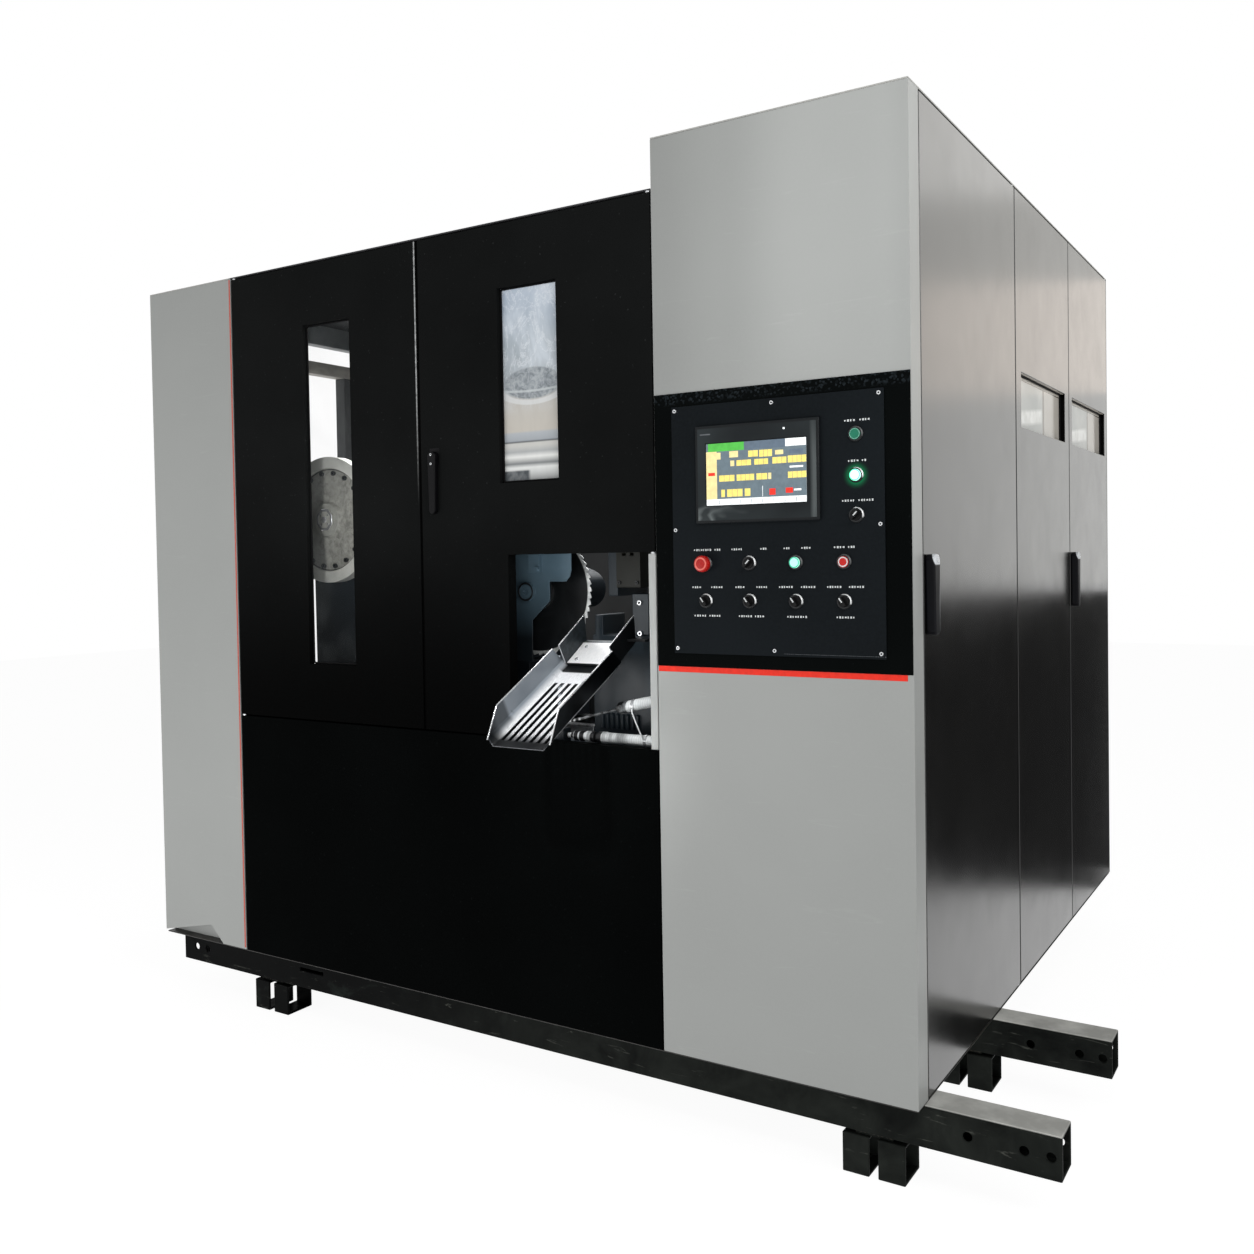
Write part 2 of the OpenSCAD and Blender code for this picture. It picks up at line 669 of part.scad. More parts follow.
module blade_guard() color([0.38, 0.48, 0.55]) at_datum() {
  difference() {
    union() {
      prism_y(guard_y, guard_y + 3) translate(blade_c) guard_region(guard_r);
      prism_y(guard_y, head_y) translate(blade_c) difference() {
        guard_region(guard_r);
        circle(r = guard_r - 3, $fn = 96);
      }
      rod_y(blade_c.x, guard_y - 8, guard_y, blade_c.y, 23);
    }
    rod_y(blade_c.x, guard_y - 9, guard_y - 1, blade_c.y, 18);
    rod_y(blade_c.x, guard_y - 2, guard_y + 4, blade_c.y, 10);
  }
  // lifting bracket with its bolt
  block([blade_c.x + 10, guard_y - 9, blade_c.y + 47], [blade_c.x + 44, guard_y, blade_c.y + 118]);
  rod_y(blade_c.x + 38, guard_y - 16, guard_y - 9, blade_c.y + 55, 6, 6);
  // socket-head screw in the counterbore
  difference() {
    union() {
      rod_y(blade_c.x, guard_y - 7, guard_y - 1, blade_c.y, 17.5);
      rod_y(blade_c.x, guard_y - 1, guard_y + 14, blade_c.y, 9.9);
    }
    rod_y(blade_c.x, guard_y - 8, guard_y - 3, blade_c.y, 8, 6);
  }
}

// one tooth: hooked face, land, relieved back and round gullet floor
tooth_pitch = 360 / blade_teeth;
tooth_h = 5.5;
function tooth(i) =
  let (r = blade_d / 2, a = i * tooth_pitch)
  [polar(r - tooth_h, a - tooth_pitch * 0.10), polar(r, a), polar(r - 0.5, a + tooth_pitch * 0.16),
   polar(r - tooth_h * 0.55, a + tooth_pitch * 0.52),
   polar(r - tooth_h * 0.92, a + tooth_pitch * 0.72)];

module saw_blade() color([0.70, 0.71, 0.72]) at_datum() difference() {
  prism_y(blade_y, blade_y + blade_t) translate(blade_c) difference() {
    polygon([for (i = [0 : blade_teeth - 1]) each tooth(i)]);
    circle(r = 20);
    for (k = [0 : 3]) rotate(45 + 90 * k) translate([32, 0]) circle(r = 4.5);
  }
}

module spindle() color([0.58, 0.59, 0.60]) at_datum() {
  translate([blade_c.x, blade_y + blade_t + 0.1, blade_c.y]) rotate([-90, 0, 0])
    rotate_extrude() polygon([
      [0, -12], [20 - run, -12], [20 - run, 0], [46, 0], [46, 12.9], [spindle_r, 12.9],
      [spindle_r, 140], [0, 140]]);
  // outer flange with its hexagon nut
  translate([blade_c.x, 0, blade_c.y]) {
    rod_y(0, blade_y - 8, blade_y - 0.1, 0, 46);
    rod_y(0, blade_y - 19, blade_y - 8, 0, 19, 6);
  }
}

module flywheel() color([0.55, 0.57, 0.56]) at_datum() translate([wheel_c.x, wheel_y, wheel_c.y]) {
  r = flywheel_d / 2;
  difference() {
    rotate([-90, 0, 0]) rotate_extrude($fn = 96) polygon([
      [0, -4], [44, -4], [50, 8], [r - 34, 10], [r - 30, 0], [r, 0], [r, wheel_w],
      [r - 30, wheel_w], [r - 34, 24], [50, 26], [46, wheel_w + 6], [spindle_r, wheel_w + 6],
      [spindle_r, 170], [0, 170]]);
    for (k = [0 : 17]) rotate([0, 20 * k, 0]) rod_y(r - 44, -5, wheel_w + 8, 0, 5);
  }
  // octagonal cap over the shaft end
  rotate([0, 22.5, 0]) rod_y(0, -10, -4, 0, 32, 8);
}

module drive_motor() color([0.30, 0.38, 0.42]) at_datum() {
  y0 = head_y + head_d + 12;
  translate([wheel_c.x, y0, wheel_c.y]) rotate([-90, 0, 0]) rotate_extrude($fn = 64) polygon(concat(
    [[0, 0], [140, 0], [140, 16], [112, 16]],
    [for (k = [0 : 9]) each [[112, 34 + k * 24], [124, 34 + k * 24], [124, 44 + k * 24],
                             [112, 44 + k * 24]]],
    [[112, 290], [126, 290], [126, 350], [108, 362], [0, 362]]));
  block([wheel_c.x - 60, y0 + 120, wheel_c.y + 100], [wheel_c.x + 60, y0 + 230, wheel_c.y + 176]);
}

// ---------------------------------------------------------------- vise

jaw_w = 96;
fixed_jaw_x = bar_x - vise_open / 2;
moving_jaw_x = bar_x + vise_open / 2 - 1;
column_x = [bar_x + 140, bar_x + 180];
clamp_x = [bar_x - 5, bar_x + 62];
drop_x = bar_x - 32;
jaw_t = 45;
arm_z = bar_z + 187;
ram = [bar_x + 12, vise_y + 155];

module vise_body() color([0.32, 0.38, 0.42]) at_datum() difference() {
  union() {
    block([bar_x - 70, vise_y, bed_top], [column_x[1], vise_y + 210, bar_floor]);
    block([fixed_jaw_x - 23, vise_y, bar_floor - 1], [fixed_jaw_x - 1, vise_y + jaw_w + 4, bar_z + 8]);
    block([column_x[0], vise_y, bar_floor - 1], [column_x[1], vise_y + 210, arm_z + 76]);
    block([drop_x, vise_y + 5, arm_z], [column_x[1], vise_y + 205, arm_z + 76]);
    block([drop_x, vise_y + 12, bar_z + 52], [clamp_x[0], vise_y + 150, arm_z + 1]);
    // ribs on the front of the base
    for (k = [0 : 7]) block([bar_x - 47 + k * 14, vise_y - 8, bed_top + 35],
                            [bar_x - 40 + k * 14, vise_y + 1, bed_top + 70]);
  }
  rod_x(column_x[0] - eps, column_x[1] + eps, vise_y + jaw_w / 2 + 2, bar_z, 15 + run);
}

module moving_jaw() color([0.40, 0.45, 0.47]) at_datum() {
  block([moving_jaw_x, vise_y + 2, bar_floor + 1],
        [moving_jaw_x + jaw_t, vise_y + 2 + jaw_w, bar_z + 58]);
  rod_x(moving_jaw_x + jaw_t - 1, bar_x + 190, vise_y + jaw_w / 2 + 2, bar_z, 15);
}

module clamp_cylinder() color([0.42, 0.42, 0.34]) at_datum() difference() {
  block([clamp_x[0], vise_y + 5, bar_z + 72], [clamp_x[1], vise_y + 205, arm_z]);
  for (x = [bar_x + 12, bar_x + 34]) block([x, vise_y, bar_z + 148], [x + 10, vise_y + 20, bar_z + 154]);
  translate([ram.x, ram.y, bar_z + 71]) cylinder(h = 101, r = 12 + run);
}

module clamp_ram() color([0.66, 0.67, 0.68]) at_datum() translate([ram.x, ram.y, 0]) {
  translate([0, 0, bar_z + 50]) cylinder(h = 100, r = 12);
  block([-14, -40, bar_z + 43], [28, 42, bar_z + 55]);
}

// ---------------------------------------------------------------- bar feed

carriage_y = 1000;
carriage_l = 240;

module feed_carriage() color([0.34, 0.40, 0.44]) at_datum() difference() {
  union() {
    block([bar_x - 150, carriage_y, bed_top + rail_size + slide],
          [bar_x + 150, carriage_y + carriage_l, bar_floor]);
    for (x = feed_rail_x, y = [carriage_y + 10, carriage_y + carriage_l - 90])
      block([x - 14, y, bed_top + 6], [x + rail_size + 14, y + 80, bed_top + rail_size + 1]);
    block([fixed_jaw_x - 31, carriage_y, bar_floor - 1],
          [fixed_jaw_x - 1, carriage_y + carriage_l, bar_z + 43]);
    block([bar_x + 110, carriage_y, bar_floor - 1], [bar_x + 150, carriage_y + carriage_l, bar_z + 43]);
  }
  for (x = feed_rail_x)
    block([x - slide, carriage_y - eps, bed_top], [x + rail_size + slide,
          carriage_y + carriage_l + eps, bed_top + rail_size + slide]);
  rod_x(bar_x + 109, bar_x + 151, carriage_y + carriage_l / 2, bar_z, 15 + run);
}

module feed_jaw() color([0.42, 0.46, 0.48]) at_datum() {
  block([moving_jaw_x, carriage_y + 10, bar_floor + 1],
        [moving_jaw_x + 28, carriage_y + carriage_l - 10, bar_z + 38]);
  rod_x(moving_jaw_x + 27, bar_x + 185, carriage_y + carriage_l / 2, bar_z, 15);
}

module bar_roller() color([0.55, 0.56, 0.57]) at_datum()
  translate([bar_x, roller_y, bar_floor - 30]) rotate([0, 90, 0]) rotate_extrude() polygon([
    [0, -117], [12, -117], [12, -101], [30, -101], [30, 101], [12, 101], [12, 117], [0, 117]]);

// ---------------------------------------------------------------- chutes

// cross-section of a folded trough: width, wall height, corner size
module trough(w, h, c) polygon([
  [0, h], [0, c], [c, 0], [w - c, 0], [w, c], [w, h], [w - skin, h], [w - skin, c + 1],
  [w - c - 1, skin], [c + 1, skin], [skin, c + 1], [skin, h]]);

// the floor's underside starts at the tip and climbs along the slope
module lower_chute() color([0.62, 0.64, 0.66]) at_datum() {
  corner = 16;
  slot_pitch = (chute_w - 2 * corner - slot_w - 14) / (chute_slots - 1);
  translate([chute_x, -chute_out, chute_tip_z]) rotate([chute_slope, 0, 0]) difference() {
    intersection() {
      translate([0, chute_l, 0]) rotate([90, 0, 0]) linear_extrude(chute_l)
        trough(chute_w, chute_wall_h, corner);
      prism_x(-eps, chute_w + eps) polygon([
        [0, 0], [chute_l, 0], [chute_l, 2], [chute_l - 27, chute_wall_h], [68, chute_wall_h],
        [6, 11]]);
    }
    for (k = [0 : chute_slots - 1])
      translate([corner + 7 + k * slot_pitch, 24, -eps]) cube([slot_w, 222, skin + 2 * eps]);
  }
  // bracket that carries the chute on the junction block
  block([chute_x - 6, 66, bed_top + 48], [chute_x + skin, 86, chute_tip_z + 172]);
}

module in_upper_chute() translate([upper_x, upper_y, upper_z]) rotate([upper_slope, 0, 0]) children();

module upper_chute() color([0.45, 0.50, 0.53]) at_datum() {
  in_upper_chute() {
    translate([0, 0.5, -skin]) cube([upper_w, 94, skin]);
    for (x = [0, upper_w - skin])
      translate([x, 0, 0]) prism_x(0, skin) polygon([
        [-4, -skin], [-4, upper_wall_h], [120, upper_wall_h], [94, -skin]]);
  }
  // lug that carries the chute on the front of the vise
  block([upper_x + upper_w - 1, 122, bar_floor - 9], [bar_x + 116, vise_y, bar_floor - 3]);
}

module chute_plate() color([0.80, 0.81, 0.82]) at_datum() in_upper_chute() difference() {
  union() {
    translate([skin + 1, -3, 0]) cube([upper_w - 2 * skin - 2, 83, 3]);
    translate([skin + 1, -3, -4]) cube([upper_w - 2 * skin - 2, 3, 5]);
  }
  for (x = [22, upper_w - 22], y = [14, 64]) translate([x, y, -eps]) cylinder(h = 5, r = 3.5);
}

// ---------------------------------------------------------------- conduits

conduit_r = 12.5;
conduit_y = 78;
arc_r = 900;
arc_a = [6.5, 15];
arc_c = [cab_x - 4 + arc_r * sin(arc_a[0]), 748 - arc_r * cos(arc_a[0])];
arc_end = arc_c + polar(arc_r, 90 + arc_a[1]);
lead_l = (arc_end.x - chute_x - skin - 3 * sin(arc_a[1])) / cos(arc_a[1]) - run;

module conduits() color([0.80, 0.82, 0.83]) at_datum() {
  low_z = bed_top + 31;
  // lower conduit, its ribbed gland and the nut at the wall
  rod_x(bar_x + 38, cab_x - 8, conduit_y, low_z, conduit_r);
  translate([bar_x - 72, conduit_y, low_z]) rotate([0, 90, 0]) rotate_extrude() polygon(concat(
    [[0, 0], [6, 0], [6, 20]],
    [for (k = [0 : 3]) each [[9, 22 + k * 16], [12.5, 24 + k * 16], [12.5, 32 + k * 16],
                             [9, 34 + k * 16]]],
    [[13.5, 88], [13.5, 110], [0, 110]]));
  rod_x(cab_x - 8, cab_x, conduit_y, low_z, 17, 6);
  // upper conduit
  translate([arc_c.x, conduit_y, arc_c.y]) rotate([90, 0, 0]) rotate([0, 0, 90 + arc_a[0]])
    rotate_extrude(angle = arc_a[1] - arc_a[0]) translate([arc_r, 0]) circle(r = conduit_r);
  rod_x(cab_x - 4, cab_x, conduit_y, arc_c.y + arc_r * cos(arc_a[0]), 17, 6);
  translate([arc_end.x, conduit_y, arc_end.y]) rotate([0, -90 - arc_a[1], 0]) {
    cylinder(h = 14, r = 14, $fn = 6);
    translate([0, 0, 14]) cylinder(h = 6, r = 8);
    cylinder(h = lead_l, r = 3);
  }
}

skid_rails();
foot_stubs();
foot_plates();
machine_bed();
frame_posts();
frame_beams();
front_left_panel();
left_side_panel();
lower_apron();
roof_panels();
rear_panels();
cabinet_front();
control_band();
partition_wall();
front_left_door();
front_right_door();
side_door_a();
side_panel_b();
side_door_c();
front_left_pane();
front_right_pane();
side_pane_b();
side_pane_c();
front_latch();
side_latch_a();
side_latch_c();
door_pivots();
control_plate();
hmi_housing();
hmi_screen();
operator_rings();
estop_head();
green_button();
lit_button();
pale_button();
red_button();
selector_a();
selector_b();
selector_c();
selector_d();
selector_e();
selector_f();
guide_rails();
saw_head();
blade_guard();
saw_blade();
spindle();
flywheel();
drive_motor();
vise_body();
moving_jaw();
clamp_cylinder();
clamp_ram();
feed_carriage();
feed_jaw();
bar_roller();
upper_chute();
chute_plate();
lower_chute();
conduits();
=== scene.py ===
import json
from math import cos, pi, radians, sin

import bmesh
import bpy
from mathutils import Matrix, Vector

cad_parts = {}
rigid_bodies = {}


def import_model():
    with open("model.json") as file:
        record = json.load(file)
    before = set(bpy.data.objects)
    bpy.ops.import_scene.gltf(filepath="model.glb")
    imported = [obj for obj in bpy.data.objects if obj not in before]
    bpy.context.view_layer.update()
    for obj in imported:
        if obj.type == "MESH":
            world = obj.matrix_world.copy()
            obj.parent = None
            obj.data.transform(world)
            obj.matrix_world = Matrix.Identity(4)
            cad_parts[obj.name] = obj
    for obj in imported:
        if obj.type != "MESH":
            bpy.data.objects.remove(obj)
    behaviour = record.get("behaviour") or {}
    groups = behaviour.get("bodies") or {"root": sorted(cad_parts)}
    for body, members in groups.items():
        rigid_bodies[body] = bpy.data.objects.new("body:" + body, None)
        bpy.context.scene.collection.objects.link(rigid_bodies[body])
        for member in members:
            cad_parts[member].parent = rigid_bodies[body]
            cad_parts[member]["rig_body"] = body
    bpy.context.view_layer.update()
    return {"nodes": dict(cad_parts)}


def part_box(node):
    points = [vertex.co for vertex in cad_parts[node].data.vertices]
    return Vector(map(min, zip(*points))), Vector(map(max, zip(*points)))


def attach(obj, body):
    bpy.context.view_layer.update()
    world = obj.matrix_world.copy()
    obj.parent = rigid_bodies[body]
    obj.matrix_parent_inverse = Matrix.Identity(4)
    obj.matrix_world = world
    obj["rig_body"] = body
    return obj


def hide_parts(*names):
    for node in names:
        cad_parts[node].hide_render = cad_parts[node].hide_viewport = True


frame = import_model()
nodes = frame["nodes"]

# the datum is the bottom front right corner of the control cabinet
lo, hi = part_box("cabinet_front")
D = Vector((hi.x, lo.y, lo.z))


def at(x, y, z):
    """A point given in millimetres from the datum."""
    return D + Vector((x, y, z)) / 1000


def srgb(r, g, b):
    def lin(c):
        c /= 255
        return c / 12.92 if c <= 0.04045 else ((c + 0.055) / 1.055) ** 2.4
    return (lin(r), lin(g), lin(b), 1)


# ---- materials

def put(value, socket):
    """Links a socket to an input, or sets a plain value. A colour input also takes an sRGB triple."""
    if isinstance(value, bpy.types.NodeSocket):
        socket.id_data.links.new(value, socket)
    elif socket.type == "RGBA" and len(value) == 3:
        socket.default_value = srgb(*value)
    else:
        socket.default_value = value


def add_node(tree, kind, inputs=None, **settings):
    """A shader node with its settings, and its inputs by name or number."""
    n = tree.nodes.new("ShaderNode" + kind)
    for key, value in settings.items():
        setattr(n, key, value)
    for key, value in (inputs or {}).items():
        put(value, n.inputs[key])
    return n


M = {}


class Mat:
    """A node material, kept in M. Positions are Object coordinates, metres in the row frame."""

    def __init__(self, name):
        self.m = M[name] = bpy.data.materials.new(name)
        self.m.use_nodes = True
        self.nt = self.m.node_tree
        places = self.node("TexCoord").outputs
        self.tc, self.normal = places["Object"], places["Normal"]
        self.bumps = None

    def node(self, kind, inputs=None, **settings):
        return add_node(self.nt, kind, inputs, **settings)

    def noise(self, scale, detail=3, rough=0.55, stretch=(1, 1, 1), warp=0.0):
        place = self.node("Mapping", {"Vector": self.tc, "Scale": stretch}).outputs[0]
        return self.node("TexNoise", {"Vector": place, "Scale": scale, "Detail": detail,
            "Roughness": rough, "Distortion": warp}).outputs["Fac"]

    def cells(self, scale, feature="F1", out="Distance"):
        return self.node("TexVoronoi", {"Vector": self.tc, "Scale": scale}, feature=feature).outputs[out]

    def ramp(self, fac, *stops, smooth=False):
        """Colours or grey levels at places from 0 to 1."""
        n = self.node("ValToRGB", {"Fac": fac})
        e = n.color_ramp.elements
        n.color_ramp.interpolation = "EASE" if smooth else "LINEAR"
        while len(e) < len(stops):
            e.new(0.5)
        for k, (place, c) in enumerate(stops):
            e[k].position = place
            e[k].color = (c, c, c, 1) if not isinstance(c, tuple) else srgb(*c) if len(c) == 3 else c
        return n.outputs["Color"]

    def tone(self, low, high, scale, detail=3, rough=0.55, lo=0.3, hi=0.7):
        """Wanders between two colours, which are reached where the noise is lo and hi."""
        return self.ramp(self.noise(scale, detail, rough), (lo, low), (hi, high))

    def mix(self, fac, a, b, mode="MIX"):
        return self.node("Mix", {0: fac, 6: a, 7: b}, data_type="RGBA", blend_type=mode).outputs[2]

    def math(self, op, a, b=0.0, clamp=False):
        return self.node("Math", {0: a, 1: b}, operation=op, use_clamp=clamp).outputs[0]

    def mul(self, a, b):
        return self.math("MULTIPLY", a, b)

    def most(self, a, b):
        return self.math("MAXIMUM", a, b)

    def axis(self, k):
        return self.node("SeparateXYZ", {0: self.tc}).outputs[k]

    def remap(self, v, a, b, low=0.0, high=1.0, kind="LINEAR"):
        """low up to a, high from b on."""
        return self.node("MapRange", {"Value": v, "From Min": a, "From Max": b, "To Min": low,
            "To Max": high}, interpolation_type=kind).outputs[0]

    def grad(self, k, a, b, low=0.0, high=1.0):
        """A smooth remap along axis k, between places in millimetres from the datum."""
        return self.remap(self.axis(k), pos(k, a), pos(k, b), low, high, "SMOOTHSTEP")

    def span(self, k, a, b, low=0.0, high=1.0):
        """A remap along axis k, between places in millimetres from the datum."""
        return self.remap(self.axis(k), pos(k, a), pos(k, b), low, high)

    def uneven(self, low, high, scale, detail=3, rough=0.55, edge=0.3):
        """A value that wanders between two levels."""
        return self.remap(self.noise(scale, detail, rough), edge, 1 - edge, low, high)

    def dot(self, direction):
        """The position measured along a direction, in metres."""
        return self.node("VectorMath", {0: self.tc, 1: direction},
            operation="DOT_PRODUCT").outputs["Value"]

    def band(self, v, a, b, soft=0.002):
        """1 from a to b, falling to 0 over a soft distance outside them."""
        return self.mul(self.remap(v, a - soft, a), self.remap(v, b, b + soft, 1.0, 0.0))

    def strip(self, k, a, b, soft):
        """A band along axis k, between places in millimetres from the datum."""
        return self.band(self.axis(k), pos(k, a), pos(k, b), soft)

    def radial(self, c):
        """Distance in the XZ plane from a point, in metres."""
        away = self.node("VectorMath", {0: self.tc, 1: c}, operation="SUBTRACT").outputs[0]
        flat = self.node("VectorMath", {0: away, 1: (1, 0, 1)}, operation="MULTIPLY").outputs[0]
        return self.node("VectorMath", {0: flat}, operation="LENGTH").outputs["Value"]

    def bump(self, height, strength, distance=0.001):
        """Each bump lies over the ones before it."""
        n = self.node("Bump", {"Strength": strength, "Distance": distance, "Height": height})
        if self.bumps is not None:
            put(self.bumps, n.inputs["Normal"])
        self.bumps = n.outputs[0]

    def peel(self, strength):
        """Fine orange peel."""
        self.bump(self.noise(900, 2, 0.5), strength, 0.0004)

    def done(self, color, rough, metal=0.0, spec=None, ior=None, emit=None, strength=1.0, alpha=None):
        glow = None if emit is None else strength
        for key, value in {"Base Color": color, "Roughness": rough, "Metallic": metal,
                "Specular IOR Level": spec, "IOR": ior, "Emission Color": emit, "Emission Strength": glow,
                "Alpha": alpha, "Normal": self.bumps}.items():
            if value is not None:
                put(value, self.nt.nodes["Principled BSDF"].inputs[key])


def pos(k, v):
    """A datum coordinate in millimetres as a world coordinate in metres."""
    return D[k] + v / 1000


FLOOR = -D.z * 1000


def material(fill):
    """Makes the material that a function describes, under the function's name."""
    fill(Mat(fill.__name__))


def middle(node):
    a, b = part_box(node)
    return (a + b) / 2


def scaled(c, k):
    """A colour made lighter or darker, in linear terms."""
    c = srgb(*c) if len(c) == 3 else c
    return (min(c[0] * k, 1), min(c[1] * k, 1), min(c[2] * k, 1), 1)


def paint(name, base, rough=0.42, mottle=0.06, peel=0.12, spec=0.4, dust=0, dust_top=0.5, scuff=0,
        painted_falloff=False):
    """Sprayed paint: faint mottling, orange peel, dust that settles low down, and rubbed marks; an option
    paints shade over the upper part, darkest towards the left.
    """
    m = Mat(name)
    big = m.noise(2.3, 3, 0.5)
    fine = m.noise(160, 2, 0.6)
    c = m.ramp(big, (0.3, scaled(base, 1 - mottle)), (0.72, scaled(base, 1 + mottle)))
    c = m.mix(m.ramp(fine, (0.35, 0), (0.7, 1)), c, m.mix(0.35, c, scaled(base, 1 + mottle)))
    r = m.uneven(rough - 0.05, rough + 0.07, 9, 4, 0.6, edge=0.25)
    if dust:
        zone = m.grad(2, FLOOR, FLOOR + dust_top * 1000, dust, 0)
        f = m.math("MULTIPLY", zone, m.tone(0.25, 1, 24, 5, 0.65, lo=0.35), True)
        c = m.mix(f, c, (120, 116, 108))
    if scuff:
        lines = m.noise(7, 5, 0.7, stretch=(1, 1, 9), warp=1.2)
        f = m.ramp(lines, (0.62, 0), (0.70, scuff))
        c = m.mix(f, c, scaled(base, 1.9))
        r = m.math("ADD", r, m.mul(f, 0.25))
    # painted shade: over the upper part the colour darkens towards the left and a little towards the right
    if painted_falloff:
        falloff_across = m.ramp(m.span(0, -558, 0), (0, 0.74), (0.3, 0.84), (0.58, 0.98), (0.9, 0.92), (1, 0.86),
            smooth=True)
        c = m.mix(1, c, m.mix(m.grad(2, 1200, 1500), (0.84, 0.84, 0.84, 1), falloff_across), "MULTIPLY")
    m.peel(peel)
    m.bump(m.noise(60, 2, 0.5), peel * 0.5, 0.0006)
    m.done(c, r, 0, spec)


def texture_paint(name, base, rough=0.62, spec=0.25, grain=420, depth=0.5, painted_low_shade=None, painted_glint=None,
        seam=False):
    """Fine textured powder coat with faint sparkle specks painted as highlights; an option darkens it
    towards the bottom as painted shade, another adds painted highlight specks in a band of heights, and
    another paints highlights along the door joint.
    """
    m = Mat(name)
    g = m.cells(grain, "SMOOTH_F1")
    n = m.noise(grain * 1.7, 3, 0.6)
    # painted highlights: bright specks on the grain
    painted_sparkle = m.ramp(m.cells(grain * 0.9, out="Color"), (0.93, 0), (0.97, 1))
    tone = m.tone(0, 1, 3.1, 3, 0.5, hi=0.75)
    c = m.mix(tone, scaled(base, 0.85), scaled(base, 1.25))
    c = m.mix(m.mul(painted_sparkle, 0.5), c, scaled(base, 4.5))
    # painted shade: the colour darkens towards the bottom
    if painted_low_shade:
        c = m.mix(m.grad(2, painted_low_shade[0], painted_low_shade[1], 1, 0), c, scaled(base, painted_low_shade[2]))
    # painted highlight: bright specks in a band of heights
    if painted_glint:
        f = m.ramp(m.cells(260, out="Color"), (0.62, 0), (0.8, 1))
        c = m.mix(m.mul(f, m.grad(2, painted_glint[0], painted_glint[1], 0, 1)), c, painted_glint[2])
    if seam:
        x0, x1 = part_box("front_left_door")[1].x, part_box("front_right_door")[0].x
        # painted highlights along the door joint: a pale strip down the left door's edge
        lit = m.mul(m.band(m.axis(0), x0 - 0.0042, x0 - 0.0008, 0.0004),
            m.ramp(m.noise(70, 2, 0.5, stretch=(0, 0, 1)), (0.35, 0.45), (0.6, 1)))
        lit = m.mul(lit, m.grad(2, 1180, 1560))
        c = m.mix(m.mul(lit, 0.8), c, (196, 198, 198))
        # and a white painted highlight on the right door's edge
        c = m.mix(m.band(m.axis(0), x1 - 0.002, x1 + 0.004, 0.001), c, (1, 1, 1))
    r = m.remap(n, 0.3, 0.7, rough - 0.08, rough + 0.08)
    m.bump(m.math("ADD", m.mul(g, 0.7), m.mul(n, 0.5)), depth, 0.0009)
    m.done(c, r, 0, spec)


def metal(name, base, rough=0.3, grain=(1, 1, 1), lines=500, depth=0.12, spots=0, metallic=1):
    """Ground or brushed metal with stretched grain, uneven polish and some stains."""
    m = Mat(name)
    brush = m.noise(lines, 3, 0.6, stretch=grain)
    blotch = m.noise(14, 4, 0.6)
    c = m.ramp(brush, (0.3, scaled(base, 0.82)), (0.7, scaled(base, 1.12)))
    if spots:
        f = m.ramp(m.noise(38, 5, 0.7, warp=0.6), (0.58, 0), (0.72, spots))
        c = m.mix(f, c, (70, 66, 60))
    r = m.math("ADD", m.remap(blotch, 0.3, 0.7, rough - 0.06, rough + 0.1),
        m.remap(brush, 0.3, 0.7, -0.05, 0.05), True)
    m.bump(brush, depth, 0.0004)
    m.done(c, r, metallic)


GREY = (154, 156, 154)
paint("grey_paint", GREY, 0.4, 0.035, 0.10, 0.25, dust=0.08, dust_top=0.3, scuff=0.06)
# the cabinet front carries painted shade over its upper part
paint("cabinet_paint", scaled(GREY, 1.2), 0.4, 0.035, 0.10, 0.25, dust=0.08, dust_top=0.3, scuff=0.06,
    painted_falloff=True)
paint("grey_inner", (158, 160, 160), 0.5, 0.05, 0.10, 0.3)
# front doors: painted shade towards the bottom and painted highlights along their joint
texture_paint("black_paint", (20, 21, 21), 0.6, 0.008, painted_low_shade=(640, 1350, 0.12), seam=True)
texture_paint("apron_paint", (5, 6, 6), 0.6, 0.004)
# control band: painted highlight specks along its top
texture_paint("band_black", (7, 9, 9), 0.5, 0.01, 330, 0.8, painted_glint=(1374, 1384, (31, 36, 39)))
paint("machine_paint", (35, 42, 48), 0.4, 0.18, 0.15, 0.25, scuff=0.2)
paint("vise_paint", (36, 46, 53), 0.38, 0.2, 0.2, 0.3, scuff=0.25)
paint("clamp_paint", (38, 39, 35), 0.4, 0.12, 0.12, 0.15, scuff=0.25)
paint("hmi_plastic", (20, 23, 25), 0.3, 0.06, 0.04, 0.12)
metal("chrome", (200, 202, 204), 0.12, (1, 1, 1), 300, 0.02)
metal("steel", (186, 188, 190), 0.3, (1, 14, 14), 90, 0.1, 0.25)
paint("knob_black", (9, 9, 10), 0.45, 0.1, 0.05, 0.15)
paint("latch_black", (6, 6, 8), 0.5, 0.1, 0.08, 0.1)


def plastic(name, base, glow=0, rough=0.25):
    m = Mat(name)
    c = m.tone(scaled(base, 0.9), scaled(base, 1.1), 90, 3)
    r = m.uneven(rough - 0.05, rough + 0.05, 200, 2)
    m.bump(m.noise(1500, 2), 0.04, 0.0002)
    m.done(c, r, 0, 0.25, emit=c if glow else None, strength=glow)


